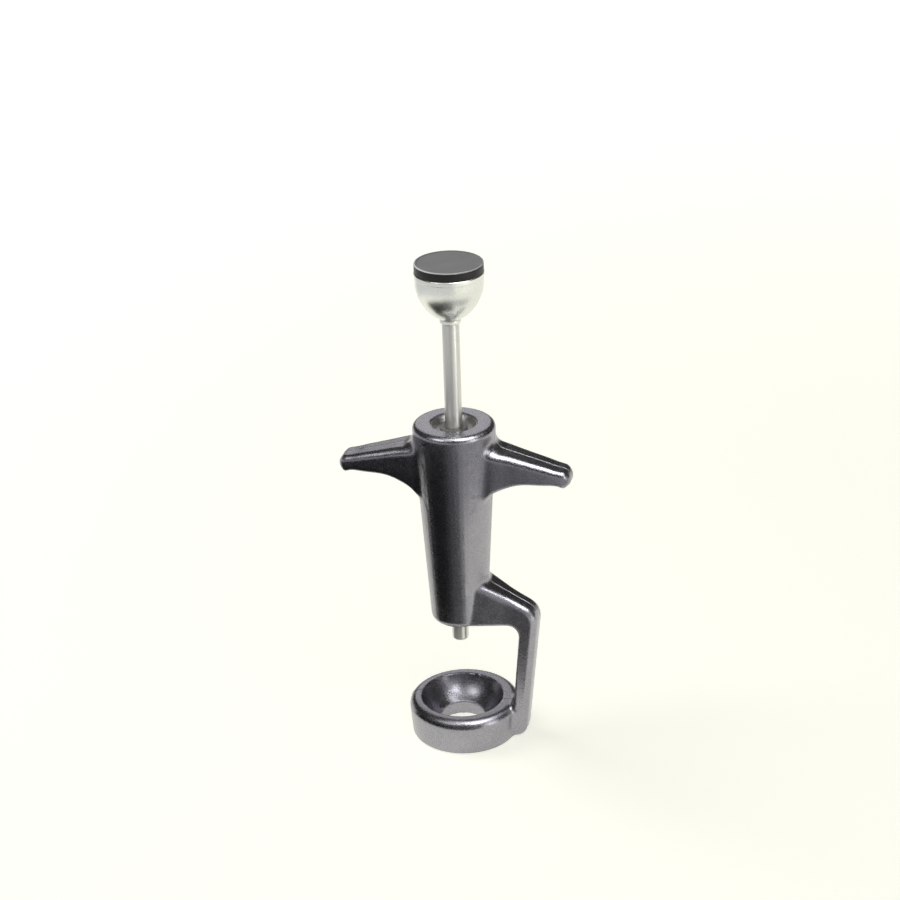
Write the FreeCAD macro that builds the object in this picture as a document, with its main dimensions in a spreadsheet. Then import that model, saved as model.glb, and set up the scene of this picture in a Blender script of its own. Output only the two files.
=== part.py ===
"""Plunger fruit stoner: a cast body with two finger wings, a barrel and a cup on an arm,
and a sprung steel plunger with a push knob that drives the stone out through the cup.

Frame: millimetres, +Z up along the plunger, +X towards the arm, origin on the plunger's axis
in the plane that the cup stands on. Heights are those of the plunger at rest, knob up.
"""
import FreeCAD
import Part
import Sketcher
import math
import os

Vector = FreeCAD.Vector
doc = FreeCAD.newDocument("fruit_stoner")

# Driving dimensions
sheet = doc.addObject("Spreadsheet::Sheet", "Sizes")
SIZES = [
    ("rod_diameter", 6.0, "plunger rod, drawn steel"),
    ("punch_tip_height", 38.0, "lower end of the rod at rest"),
    ("punch_tip_round", 0.8, "rounding of the lower end"),
    ("rod_shoulder_height", 161.3, "shoulder under the knob"),
    ("stud_diameter", 4.0, "threaded end above the shoulder"),
    ("stud_length", 9.2, "shoulder to the end of the thread"),
    ("stud_chamfer", 0.4, "lead-in of the thread"),
    ("plunger_stroke", 36.0, "travel of the plunger"),
    ("running_clearance", 0.05, "radial, a shaft in its bush"),
    ("seat_clearance", 0.02, "radial, a piece pressed into its seat"),
    ("free_clearance", 0.3, "radial, a piece that must not rub"),
    ("face_gap", 0.1, "between faces that move against each other"),
    ("cup_height", 13.5, "standing face to the rim of the cup"),
    ("cup_taper", 1.0, "rim of the cup wider than its foot, each side"),
    ("cup_rim_radius", 20.5, "outer radius at the rim, before its rounding"),
    ("cup_offset", 0.8, "shift of the outer wall towards the arm"),
    ("cup_rim_round", 3.0, "rounding of the outer rim"),
    ("cup_foot_round", 0.8, "rounding of the outer foot"),
    ("bowl_mouth_radius", 15.1, "fruit bowl at the rim"),
    ("bowl_floor_height", 5.4, "lowest ring of the bowl"),
    ("pit_hole_radius", 8.0, "hole that the stone leaves by"),
    ("pit_relief", 0.35, "wider lower part of the hole"),
    ("pit_relief_height", 4.1, "standing face to the end of the wider part"),
    ("barrel_bottom", 46.6, "underside of the barrel"),
    ("barrel_top", 124.0, "upper face of the barrel"),
    ("barrel_foot_radius", 10.1, "outer radius at the underside"),
    ("barrel_head_radius", 14.74, "outer radius at the upper face"),
    ("barrel_foot_round", 3.0, "rounding of the lower edge"),
    ("barrel_head_round", 2.0, "rounding of the upper edge"),
    ("chamber_radius", 7.0, "spring chamber"),
    ("chamber_floor", 4.4, "thickness of the barrel's floor"),
    ("plug_radius", 8.2, "seat of the top plug"),
    ("plug_depth", 6.7, "upper face of the barrel to the plug's seat"),
    ("plug_recess", 0.5, "upper face of the barrel to the plug's edge"),
    ("plug_dish_depth", 1.7, "edge of the plug to its floor"),
    ("plug_edge", 0.4, "flat edge of the plug"),
    ("plug_dish_slope", 1.1, "width of the sloped wall of the plug's dish"),
    ("plug_bore_radius", 4.0, "seat of the upper bush"),
    ("bush_collar_radius", 4.9, "collar of the upper bush"),
    ("bush_collar_height", 0.6, "collar of the upper bush"),
    ("foot_bush_radius", 4.6, "lower bush in the barrel's floor"),
    ("foot_bush_recess", 0.6, "lower bush above the barrel's underside"),
    ("foot_bush_flange_radius", 6.4, "flange of the lower bush"),
    ("foot_bush_flange_height", 1.2, "flange of the lower bush"),
    ("washer_radius", 6.2, "spring washers"),
    ("washer_thickness", 0.8, "spring washers"),
    ("bumper_radius", 6.6, "rubber stop ring"),
    ("bumper_thickness", 1.5, "rubber stop ring"),
    ("clip_radius", 5.0, "retaining clip"),
    ("clip_thickness", 0.8, "retaining clip"),
    ("clip_mouth", 3.6, "open side of the retaining clip"),
    ("clip_groove_depth", 0.6, "groove in the rod for the clip"),
    ("spring_wire", 1.2, "return spring"),
    ("spring_mean_radius", 5.2, "return spring"),
    ("spring_end_gap", 0.7, "gap between the closed end turns"),
    ("spring_ground_depth", 0.3, "flat ground on each end"),
    ("collar_radius", 3.8, "collar under the knob"),
    ("collar_height", 1.5, "collar under the knob"),
    ("knob_radius", 12.03, "bowl of the push knob"),
    ("knob_side_radius", 16.2, "curve of the bowl's side, outside"),
    ("knob_wall", 1.4, "wall of the knob's bowl"),
    ("knob_floor", 2.0, "floor of the knob's bowl on the collar"),
    ("knob_belt_height", 2.98, "straight wall above the round bowl"),
    ("knob_band_height", 1.6, "band under the bowl's rim"),
    ("knob_band_step", 0.15, "band proud of the bowl"),
    ("knob_rim_round", 0.4, "outer edge of the bowl's rim"),
    ("cap_radius", 11.85, "cover disc of the knob"),
    ("cap_thickness", 3.2, "cover disc of the knob"),
    ("cap_edge_round", 0.42, "upper edge of the cover disc"),
    ("cap_lip_width", 1.0, "raised lip round the cover disc"),
    ("cap_lip_height", 0.14, "raised lip round the cover disc"),
    ("cap_lip_slope", 0.2, "raised lip round the cover disc"),
    ("cap_skirt_depth", 2.9, "skirt that holds the cover in the bowl"),
    ("cap_skirt_wall", 1.5, "skirt that holds the cover in the bowl"),
    ("nut_width", 7.0, "across the flats"),
    ("nut_height", 3.2, "hexagon nut in the knob"),
    ("lock_washer_radius", 3.8, "split washer under the nut"),
    ("lock_washer_height", 0.9, "split washer under the nut"),
    ("lock_washer_slit", 0.7, "split of the washer"),
    ("wing_reach", 41.8, "axis to the tip of a wing"),
    ("wing_start", 2.0, "where the wing starts, outside the spring chamber"),
    ("wing_root_top", 116.4, "ridge of the wing at the barrel"),
    ("wing_end_top", 109.9, "ridge of the wing at its tip"),
    ("wing_root_bottom", 101.6, "underside of the wing near the barrel"),
    ("wing_end_bottom", 104.2, "underside of the wing near its tip"),
    ("wing_root_width", 14.6, "wing at the barrel"),
    ("wing_end_width", 10.4, "wing at its tip"),
    ("wing_root_round", 3.2, "upper edges at the barrel"),
    ("wing_end_round", 2.2, "upper edges at the tip"),
    ("wing_under_round", 1.7, "lower edges"),
    ("wing_level_share", 45.0, "part of the underside that climbs, in per cent"),
    ("wing_fairing_reach", 6.6, "deeper root of the wing, outside the barrel"),
    ("wing_fairing_drop", 4.6, "deeper root of the wing, below its underside"),
    ("wing_fairing_swell", 0.8, "deeper root of the wing, to each side"),
    ("wing_lip_share", 80.0, "where the bead under the tip starts, in per cent"),
    ("wing_lip_drop", 0.9, "height that the bead gives the tip"),
    ("wing_lip_swell", 0.32, "bead below the underside"),
    ("wing_tip_stretch", 0.4, "tip longer than half its height"),
    ("wing_tip_taper", 3.4, "narrowing of the tip to each side"),
    ("wing_tip_droop", 0.5, "fall of the tip's middle"),
    ("wing_blend", 5.0, "hollow between wing and barrel"),
    ("neck_start", 3.0, "where the neck starts inside the barrel"),
    ("neck_corner_top", 52.6, "top of the outer corner before its bend"),
    ("neck_slope", 55.1, "rise of the neck's top towards the barrel, in per cent"),
    ("neck_lift", 0.6, "underside of the neck above the barrel's"),
    ("neck_flare_slope", 23.1, "widening of the neck towards the barrel, each side, in per cent"),
    ("neck_flare_end", 4.0, "end of the neck's flare before the arm's inner face"),
    ("neck_flare_round", 24.0, "hollow side of the flare"),
    ("neck_blend", 3.0, "hollow between neck and barrel"),
    ("arm_width", 10.6, "arm"),
    ("arm_overhang", 8.0, "arm's outer face past the cup's rim, below the corner"),
    ("arm_thickness", 6.3, "arm below the corner"),
    ("arm_lean", 10.0, "inward lean of the arm's outer face, in per cent"),
    ("arm_inner_lean", 8.0, "inward lean of the arm's inner face, in per cent"),
    ("arm_outer_round", 2.8, "outer edges of neck and arm"),
    ("arm_inner_round", 1.2, "inner edges of neck and arm"),
    ("arm_foot_lift", 0.4, "end of the arm above the standing face"),
    ("arm_foot_round", 4.5, "outer bend at the foot of the arm"),
    ("corner_outer_round", 7.0, "outer bend from neck to arm"),
    ("corner_inner_round", 4.2, "inner bend from neck to arm"),
    ("arm_blend", 2.5, "hollow between arm and cup"),
]
for row, (alias, value, note) in enumerate(SIZES, 1):
    sheet.set("A%d" % row, alias.replace("_", " "))
    sheet.set("B%d" % row, str(value))
    sheet.set("C%d" % row, note)
    sheet.setAlias("B%d" % row, alias)
doc.recompute()


def size(alias):
    """value of one driving dimension"""
    return float(getattr(sheet, alias))


def number(expression):
    """value of an expression on the sheet"""
    return float(sheet.evalExpression(expression))


def ref(text):
    """expression with each alias made a reference to the sheet: {alias}"""
    for alias, value, note in SIZES:
        text = text.replace("{%s}" % alias, "Sizes.%s" % alias)
    return text


# Where an edge is looked at, and the tolerances for finding it
EDGE_SHARES = (0.1, 0.5, 0.9)
FINE = 1e-4
NEAR = 0.02
MARGIN = 0.1
CLOSE = 0.4
SMOOTH_ANGLE = 5.0

# How far a cutting tool runs past the face that it opens
OVERRUN = "1"

# Heights that several pieces share
ROD_RADIUS = ref("{rod_diameter} / 2")
STUD_RADIUS = ref("{stud_diameter} / 2")
CHAMBER_FLOOR = ref("({barrel_bottom} + {chamber_floor})")
PLUG_SEAT = ref("({barrel_top} - {plug_depth})")
PLUG_EDGE = ref("({barrel_top} - {plug_recess})")
PLUG_FLOOR = ref("({barrel_top} - {plug_recess} - {plug_dish_depth})")
LOWER_WASHER = ref("(%s + {foot_bush_flange_height})" % CHAMBER_FLOOR)
SPRING_FOOT = ref("(%s + {washer_thickness})" % LOWER_WASHER)
BUMPER_FACE = ref("(%s - {bumper_thickness})" % PLUG_SEAT)
CLIP_TOP = ref("(%s - {face_gap})" % BUMPER_FACE)
CLIP_FOOT = ref("(%s - {clip_thickness})" % CLIP_TOP)
UPPER_WASHER = ref("(%s - {face_gap} - {washer_thickness})" % CLIP_FOOT)
COLLAR_TOP = ref("({rod_shoulder_height} + {collar_height})")
KNOB_FLOOR = ref("(%s + {knob_floor})" % COLLAR_TOP)
STUD_TOP = ref("({rod_shoulder_height} + {stud_length})")


def body(label):
    """an empty body, with its XZ and XY planes"""
    made = doc.addObject("PartDesign::Body", label)
    made.Label = label
    planes = {plane.Role: plane for plane in made.Origin.OriginFeatures}
    return made, planes["XZ_Plane"], planes["XY_Plane"]


def profile(owner, plane, name, corners, arcs=None):
    """closed outline: corners are (x, y) expressions, arcs {corner: (x, y) of the centre}

    Corner number n starts side n. A side in arcs is round about its centre, and the corner at
    its end then gets only its height from its own expression.
    """
    arcs = arcs or {}
    if owner is None:
        sketch = doc.addObject("Sketcher::SketchObject", name)
        sketch.Placement.Rotation = plane
    else:
        sketch = owner.newObject("Sketcher::SketchObject", name)
        sketch.AttachmentSupport = [(plane, "")]
        sketch.MapMode = "FlatFace"
    spots = [Vector(number(x), number(y), 0) for x, y in corners]
    count = len(corners)
    for start in range(count):
        a = spots[start]
        b = spots[(start + 1) % count]
        if start in arcs:
            centre = Vector(number(arcs[start][0]), number(arcs[start][1]), 0)
            circle = Part.Circle(centre, Vector(0, 0, 1), (a - centre).Length)
            angles = sorted(math.atan2(spot.y - centre.y, spot.x - centre.x) for spot in (a, b))
            sketch.addGeometry(Part.ArcOfCircle(circle, angles[0], angles[1]), False)
        else:
            sketch.addGeometry(Part.LineSegment(a, b), False)
    starts = {}
    ends = {}
    for side in range(count):
        arc = sketch.Geometry[side]
        flipped = side in arcs and arc.StartPoint.distanceToPoint(spots[side]) > FINE
        starts[side] = 2 if flipped else 1
        ends[side] = 1 if flipped else 2
    for side in range(count):
        after = (side + 1) % count
        sketch.addConstraint(Sketcher.Constraint("Coincident", side, ends[side], after, starts[after]))
    for side, (x, y) in enumerate(corners):
        pin(sketch, side, starts[side], "DistanceY", "y%d" % side, y)
        if (side - 1) % count not in arcs:
            pin(sketch, side, starts[side], "DistanceX", "x%d" % side, x)
    for side, (x, y) in arcs.items():
        pin(sketch, side, 3, "DistanceX", "cx%d" % side, x)
        pin(sketch, side, 3, "DistanceY", "cy%d" % side, y)
    return sketch


def pin(sketch, geometry, point, kind, name, expression):
    """one coordinate of a sketch point, bound to an expression"""
    value = number(expression)
    index = sketch.addConstraint(Sketcher.Constraint(kind, -1, 1, geometry, point, value))
    sketch.renameConstraint(index, name)
    sketch.setExpression("Constraints." + name, expression)


def turned(label, corners, arcs=None):
    """a body turned about the plunger's axis"""
    made, upright, level = body(label)
    outline = profile(made, upright, label + "_outline", corners, arcs)
    turn = made.newObject("PartDesign::Revolution", label + "_turn")
    turn.Profile = outline
    turn.ReferenceAxis = (outline, ["V_Axis"])
    turn.Angle = 360
    outline.Visibility = False
    doc.recompute()
    return made


def circle_edges(shape, radius, height):
    """names of the edges that are circles of this radius at this height"""
    found = []
    for index, edge in enumerate(shape.Edges, 1):
        box = edge.BoundBox
        level = abs(box.ZMin - height) < FINE and abs(box.ZMax - height) < FINE
        if level and hasattr(edge.Curve, "Radius") and abs(edge.Curve.Radius - radius) < FINE:
            found.append("Edge%d" % index)
    return found


def dress(made, kind, name, radius, height, amount):
    """fillet or chamfer on the circles of a turned body"""
    base = made.Tip
    feature = made.newObject("PartDesign::" + kind, name)
    feature.Base = (base, circle_edges(base.Shape, number(radius), number(height)))
    feature.setExpression("Radius" if kind == "Fillet" else "Size", amount)
    doc.recompute()


def cylinder(name, radius, height, z):
    """an upright cylinder on the axis"""
    made = doc.addObject("Part::Cylinder", name)
    made.setExpression("Radius", radius)
    made.setExpression("Height", height)
    made.setExpression("Placement.Base.z", z)
    return made


def cut(label, base, tool):
    """base without tool"""
    made = doc.addObject("Part::Cut", label)
    made.Base = base
    made.Tool = tool
    made.Label = label
    return made


def fused(name, pieces):
    """several solids as one"""
    made = doc.addObject("Part::MultiFuse", name)
    made.Shapes = pieces
    return made


def rounded_section(low, high, half_width, low_round, high_round):
    """rounded rectangle that spans two points of the XZ plane and both sides of it"""
    foot = Vector(low[0], 0, low[1])
    head = Vector(high[0], 0, high[1])
    up = head - foot
    length = up.Length
    up.normalize()
    diagonal = math.sqrt(0.5)

    def spot(side, rise):
        return foot + up * rise + Vector(0, side, 0)

    def corner(side, radius, rise, sense):
        """three points of a corner's arc, from the side wall to the level side"""
        centre = side * (half_width - radius)
        wall = spot(side * half_width, rise)
        middle = spot(centre + side * radius * diagonal, rise + sense * radius * diagonal)
        level = spot(centre, rise + sense * radius)
        return wall, middle, level

    low_right = corner(1, low_round, low_round, -1)
    low_left = corner(-1, low_round, low_round, -1)
    high_right = corner(1, high_round, length - high_round, 1)
    high_left = corner(-1, high_round, length - high_round, 1)
    sides = [
        Part.LineSegment(low_left[2], low_right[2]),
        Part.Arc(low_right[2], low_right[1], low_right[0]),
        Part.LineSegment(low_right[0], high_right[0]),
        Part.Arc(high_right[0], high_right[1], high_right[2]),
        Part.LineSegment(high_right[2], high_left[2]),
        Part.Arc(high_left[2], high_left[1], high_left[0]),
        Part.LineSegment(high_left[0], low_left[0]),
        Part.Arc(low_left[0], low_left[1], low_left[2]),
    ]
    return Part.Wire([side.toShape() for side in sides])


def mix(start, end, share):
    """value between two values"""
    return start + (end - start) * share


# Body casting: barrel
barrel_cone = doc.addObject("Part::Cone", "barrel_cone")
barrel_cone.setExpression("Radius1", ref("{barrel_foot_radius}"))
barrel_cone.setExpression("Radius2", ref("{barrel_head_radius}"))
barrel_cone.setExpression("Height", ref("{barrel_top} - {barrel_bottom}"))
barrel_cone.setExpression("Placement.Base.z", ref("{barrel_bottom}"))
SEAM_TURN = 105.0
barrel_cone.Placement.Rotation = FreeCAD.Rotation(Vector(0, 0, 1), SEAM_TURN)
doc.recompute()


def round_rims(name, base, rims):
    """fillets on level circles: rims are (height, radius alias)"""
    made = doc.addObject("Part::Fillet", name)
    made.Base = base
    picked = []
    for height, alias in rims:
        for index, edge in enumerate(base.Shape.Edges, 1):
            box = edge.BoundBox
            if abs(box.ZMin - height) < FINE and abs(box.ZMax - height) < FINE:
                picked.append((index, size(alias), size(alias)))
    made.Edges = picked
    doc.recompute()
    return made


barrel_blank = round_rims("barrel_blank", barrel_cone, [
    (size("barrel_bottom"), "barrel_foot_round"),
    (size("barrel_top"), "barrel_head_round"),
])


def barrel_radius(height):
    """outer radius of the barrel at a height"""
    share = (height - size("barrel_bottom")) / (size("barrel_top") - size("barrel_bottom"))
    return mix(size("barrel_foot_radius"), size("barrel_head_radius"), share)


# Body casting: finger wings, sections swept from inside the barrel to the tip
WING_SECTIONS = 6
WING_TIP_TURNS = (22.0, 45.0, 64.0, 80.0)
WING_TIP_FULLNESS = 0.85
FAIRING_CURVE = 1.5


def wing_shape():
    """one wing towards +X, from inside the barrel to its rounded tip"""
    root = barrel_radius(size("wing_root_top"))
    start = size("chamber_radius") + size("wing_start")
    tip_half = (size("wing_end_top") - size("wing_end_bottom") + size("wing_lip_drop")) / 2
    tip_start = size("wing_reach") - tip_half - size("wing_tip_stretch")
    fairing_end = root + size("wing_fairing_reach")
    lip_start = size("wing_lip_share") / 100
    level_start = size("wing_level_share") / 100
    sections = []
    for step in range(WING_SECTIONS + 1):
        x = mix(start, tip_start, step / WING_SECTIONS)
        share = (x - root) / (tip_start - root)
        climb = min(1.0, max(share, 0.0) / level_start)
        near = max(0.0, (fairing_end - x) / (fairing_end - start))
        lip = max(0.0, (share - lip_start) / (1 - lip_start))
        top = mix(size("wing_root_top"), size("wing_end_top"), share)
        bottom = mix(size("wing_root_bottom"), size("wing_end_bottom"), climb)
        bottom = bottom - size("wing_fairing_drop") * near ** FAIRING_CURVE - size("wing_lip_swell") * lip
        half = mix(size("wing_root_width"), size("wing_end_width"), share) / 2
        half = half + size("wing_fairing_swell") * near
        edge = mix(size("wing_root_round"), size("wing_end_round"), max(share, 0.0))
        sections.append(rounded_section((x, bottom), (x, top), half, size("wing_under_round"), edge))
    middle = size("wing_end_top") - tip_half
    for turn in WING_TIP_TURNS:
        angle = math.radians(turn)
        closing = 1 - math.cos(angle)
        x = tip_start + tip_half * math.sin(angle) + size("wing_tip_stretch") * turn / WING_TIP_TURNS[-1]
        tall = tip_half * math.cos(angle)
        half = size("wing_end_width") / 2 - size("wing_tip_taper") * closing
        level = middle - size("wing_tip_droop") * closing
        edge = min(size("wing_end_round"), tall * WING_TIP_FULLNESS)
        under = min(size("wing_under_round"), edge)
        sections.append(rounded_section((x, level - tall), (x, level + tall), half, under, edge))
    return Part.makeLoft(sections, True, False)


wing_right = doc.addObject("Part::Feature", "wing_right")
wing_right.Shape = wing_shape()
wing_left = doc.addObject("Part::Mirroring", "wing_left")
wing_left.Source = wing_right
wing_left.Normal = Vector(1, 0, 0)
doc.recompute()


# Body casting: neck and arm, cut from one slab seen from the side and one seen from above
UPRIGHT = FreeCAD.Rotation(Vector(1, 0, 0), 90)
LEVEL = FreeCAD.Rotation()


def slab(name, turn, corners, direction, length, start):
    """a straight slab over an outline"""
    outline = profile(None, turn, name + "_outline", corners)
    made = doc.addObject("Part::Extrusion", name)
    made.Base = outline
    made.DirMode = "Custom"
    made.Dir = direction
    made.Solid = True
    made.setExpression("LengthFwd", length)
    made.setExpression("LengthRev", start)
    outline.Visibility = False
    doc.recompute()
    return made


CUP_FOOT_RADIUS = ref("({cup_rim_radius} - {cup_taper})")
NECK_UNDERSIDE = ref("({barrel_bottom} + {neck_lift})")
ARM_FOOT = ref("{arm_foot_lift}")
ARM_DROP = "(%s - %s)" % (NECK_UNDERSIDE, ARM_FOOT)
ARM_OUTER = ref("({cup_offset} + {cup_rim_radius} + {arm_overhang})")
ARM_INNER = ref("(%s - {arm_thickness})" % ARM_OUTER)
FLARE_REACH = ref("(%s - {neck_flare_end})" % ARM_INNER)
ARM_INNER_FOOT = ref("(%s - %s * {arm_inner_lean} / 100)" % (ARM_INNER, ARM_DROP))
ARM_OUTER_FOOT = ref("(%s - %s * {arm_lean} / 100)" % (ARM_OUTER, ARM_DROP))
ARM_OUTER_HEAD = ref("(%s + ({neck_corner_top} - %s) * {arm_lean} / 100)" % (ARM_OUTER, NECK_UNDERSIDE))
NECK_ROOT_HALF = ref("({arm_width} / 2 + (%s - {neck_start}) * {neck_flare_slope} / 100)" % FLARE_REACH)
NECK_ROOT = ref("(2 * %s)" % NECK_ROOT_HALF)
NECK_HEAD = ref("({neck_corner_top} + (%s - {neck_start}) * {neck_slope} / 100)" % ARM_OUTER)
arm_side = slab("arm_side", UPRIGHT, [
    (ref("{neck_start}"), NECK_UNDERSIDE),
    (ARM_INNER, NECK_UNDERSIDE),
    (ARM_INNER_FOOT, ARM_FOOT),
    (ARM_OUTER_FOOT, ARM_FOOT),
    (ARM_OUTER_HEAD, ref("{neck_corner_top}")),
    (ref("{neck_start}"), NECK_HEAD),
], Vector(0, 1, 0), NECK_ROOT, NECK_ROOT)
arm_plan = slab("arm_plan", LEVEL, [
    (ref("{neck_start}"), "-" + NECK_ROOT_HALF),
    (FLARE_REACH, ref("-{arm_width} / 2")),
    (ref("%s + {arm_thickness}" % ARM_OUTER), ref("-{arm_width} / 2")),
    (ref("%s + {arm_thickness}" % ARM_OUTER), ref("{arm_width} / 2")),
    (FLARE_REACH, ref("{arm_width} / 2")),
    (ref("{neck_start}"), NECK_ROOT_HALF),
], Vector(0, 0, 1), ref("{barrel_top}"), "0")


def straight_edges(shape, direction, spots):
    """indices of the straight edges along a direction that pass a spot (x, y, z; None is any)"""
    found = []
    for index, edge in enumerate(shape.Edges, 1):
        first, last = edge.Vertexes[0].Point, edge.Vertexes[-1].Point
        course = last - first
        if course.Length < FINE or abs(abs(course.normalize().dot(direction)) - 1) > NEAR:
            continue
        middle = (first + last) * 0.5
        for spot in spots:
            if all(want is None or abs(want - have) < CLOSE for want, have in zip(spot, middle)):
                found.append(index)
    return found


def rounded(name, base, picks):
    """fillets on edges by index: picks are (indices, radius)"""
    made = doc.addObject("Part::Fillet", name)
    made.Base = base
    made.Edges = [(index, radius, radius) for indices, radius in picks for index in indices]
    doc.recompute()
    return made


across = Vector(0, 1, 0)
inner_corner = (number(ARM_INNER), None, number(NECK_UNDERSIDE))
outer_corner = (None, None, size("neck_corner_top"))
foot_corner = (number(ARM_OUTER_FOOT), None, number(ARM_FOOT))
side_bends = rounded("arm_side_bends", arm_side, [
    (straight_edges(arm_side.Shape, across, [inner_corner]), size("corner_inner_round")),
    (straight_edges(arm_side.Shape, across, [outer_corner]), size("corner_outer_round")),
    (straight_edges(arm_side.Shape, across, [foot_corner]), size("arm_foot_round")),
])
flare_spots = [(number(FLARE_REACH), side * size("arm_width") / 2, None) for side in (-1, 1)]
plan_bends = rounded("arm_plan_bends", arm_plan, [
    (straight_edges(arm_plan.Shape, Vector(0, 0, 1), flare_spots), size("neck_flare_round")),
])
arm_square = doc.addObject("Part::Common", "arm_square")
arm_square.Base = side_bends
arm_square.Tool = plan_bends
doc.recompute()


def long_edges(shape, outer):
    """edges that run along the neck and arm, on its outer or its inner side"""
    found = []
    arm_outer = number(ARM_OUTER)
    arm_line = arm_outer - size("arm_thickness") / 2
    for index, edge in enumerate(shape.Edges, 1):
        spots = edge_spots(edge)
        if any(abs(spot.y) < size("arm_width") / 2 - CLOSE for spot in spots):
            continue
        middle = spots[1]
        if middle.x < size("neck_start") + MARGIN or middle.z < number(ARM_FOOT) + MARGIN:
            continue
        if is_smooth(shape, edge, middle):
            continue
        slope_line = size("neck_corner_top") + (arm_outer - middle.x) * size("neck_slope") / 100
        beyond = middle.x > arm_line - size("arm_lean") / 100 * (number(NECK_UNDERSIDE) - middle.z)
        above = middle.z > (slope_line + number(NECK_UNDERSIDE)) / 2
        if (beyond or above) == outer:
            found.append(index)
    return found


def is_smooth(shape, edge, spot):
    """whether the two faces at an edge run into each other without a corner"""
    normals = []
    for face in shape.ancestorsOfType(edge, Part.Face):
        first, second = face.Surface.parameter(spot)
        normals.append(face.normalAt(first, second))
    return math.degrees(normals[0].getAngle(normals[1])) < SMOOTH_ANGLE


def edge_spots(edge):
    """three points along an edge"""
    first, last = edge.FirstParameter, edge.LastParameter
    return [edge.valueAt(mix(first, last, share)) for share in EDGE_SHARES]


arm = rounded("arm", arm_square, [
    (long_edges(arm_square.Shape, True), size("arm_outer_round")),
    (long_edges(arm_square.Shape, False), size("arm_inner_round")),
])

# Body casting: cup
cup_cone = doc.addObject("Part::Cone", "cup_cone")
cup_cone.setExpression("Radius1", CUP_FOOT_RADIUS)
cup_cone.setExpression("Radius2", ref("{cup_rim_radius}"))
cup_cone.setExpression("Height", ref("{cup_height}"))
cup_cone.setExpression("Placement.Base.x", ref("{cup_offset}"))
cup_cone.Placement.Rotation = FreeCAD.Rotation(Vector(0, 0, 1), SEAM_TURN)
doc.recompute()
cup_blank = round_rims("cup_blank", cup_cone, [
    (0.0, "cup_foot_round"),
    (size("cup_height"), "cup_rim_round"),
])

casting_blank = fused("casting_blank", [barrel_blank, wing_right, wing_left, arm, cup_blank])
doc.recompute()


def on_barrel(point):
    """whether a point lies on the barrel's sloping wall"""
    return abs(math.hypot(point.x, point.y) - barrel_radius(point.z)) < NEAR


def cup_distance(point):
    """distance of a point from the axis of the cup's outer wall"""
    return math.hypot(point.x - size("cup_offset"), point.y)


def blend_edges(shape):
    """edges where wings, neck and arm leave the barrel and the cup, with their radius"""
    picked = []
    wing_foot = size("wing_root_bottom") - size("wing_fairing_drop") - 2 * size("wing_blend")
    head = size("barrel_top") - size("barrel_head_round") - CLOSE
    neck_foot = size("barrel_bottom") + size("barrel_foot_round")
    cup_edge = size("cup_rim_radius") - size("cup_rim_round")
    cup_low = size("cup_height") - size("cup_rim_round") - CLOSE
    cup_high = size("cup_height") - MARGIN
    for index, edge in enumerate(shape.Edges, 1):
        spots = edge_spots(edge)
        low = min(spot.z for spot in spots)
        high = max(spot.z for spot in spots)
        radius = None
        if all(on_barrel(spot) for spot in spots):
            if wing_foot < low and high < head:
                radius = size("wing_blend")
            elif spots[1].x > 0 and neck_foot < high < wing_foot and high - low > MARGIN:
                radius = size("neck_blend")
        if spots[1].x > cup_edge and cup_low < low and high < cup_high:
            if all(cup_edge < cup_distance(spot) < size("cup_rim_radius") for spot in spots):
                radius = size("arm_blend")
        if radius:
            picked.append((index, radius, radius))
    return picked


blended = doc.addObject("Part::Fillet", "casting_blended")
blended.Base = casting_blank
blended.Edges = blend_edges(casting_blank.Shape)
doc.recompute()

# Body casting: machined and cored hollows
chamber = cylinder("chamber_core", ref("{chamber_radius}"), ref("{barrel_top} - " + CHAMBER_FLOOR),
                   CHAMBER_FLOOR)
plug_seat = cylinder("plug_seat", ref("{plug_radius}"), ref("{plug_depth} + " + OVERRUN), PLUG_SEAT)
bush_seat = cylinder("bush_seat", ref("{foot_bush_radius}"), ref("{chamber_floor} + 2 * " + OVERRUN),
                     ref("{barrel_bottom} - " + OVERRUN))
pit_hole = cylinder("pit_hole", ref("{pit_hole_radius}"), ref("{cup_height} + 2 * " + OVERRUN), "-" + OVERRUN)
pit_relief = cylinder("pit_relief", ref("{pit_hole_radius} + {pit_relief}"),
                      ref("{pit_relief_height} + " + OVERRUN), "-" + OVERRUN)
fruit_bowl = doc.addObject("Part::Sphere", "fruit_bowl")
RIM_SQUARES = "({bowl_mouth_radius} ^ 2 + {cup_height} ^ 2)"
FLOOR_SQUARES = "({pit_hole_radius} ^ 2 + {bowl_floor_height} ^ 2)"
RIM_OVER_FLOOR = "({cup_height} - {bowl_floor_height})"
BOWL_CENTRE = ref("((%s - %s) / (2 * %s))" % (RIM_SQUARES, FLOOR_SQUARES, RIM_OVER_FLOOR))
BOWL_RADIUS = ref("sqrt({pit_hole_radius} ^ 2 + (%s - {bowl_floor_height}) ^ 2)" % BOWL_CENTRE)
fruit_bowl.setExpression("Radius", BOWL_RADIUS)
fruit_bowl.setExpression("Placement.Base.z", BOWL_CENTRE)
doc.recompute()
hollows = fused("hollows", [chamber, plug_seat, bush_seat])
cup_hollows = fused("cup_hollows", [pit_hole, pit_relief, fruit_bowl])
hollowed = cut("casting_hollowed", blended, hollows)
body_casting = cut("body_casting", hollowed, cup_hollows)
doc.recompute()

# Top plug, dished round the rod
barrel_plug = turned("barrel_plug", [
    (ref("{plug_bore_radius}"), PLUG_SEAT),
    (ref("{plug_radius} - {seat_clearance}"), PLUG_SEAT),
    (ref("{plug_radius} - {seat_clearance}"), PLUG_EDGE),
    (ref("{plug_radius} - {seat_clearance} - {plug_edge}"), PLUG_EDGE),
    (ref("{plug_radius} - {seat_clearance} - {plug_edge} - {plug_dish_slope}"), PLUG_FLOOR),
    (ref("{plug_bore_radius}"), PLUG_FLOOR),
])

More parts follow.
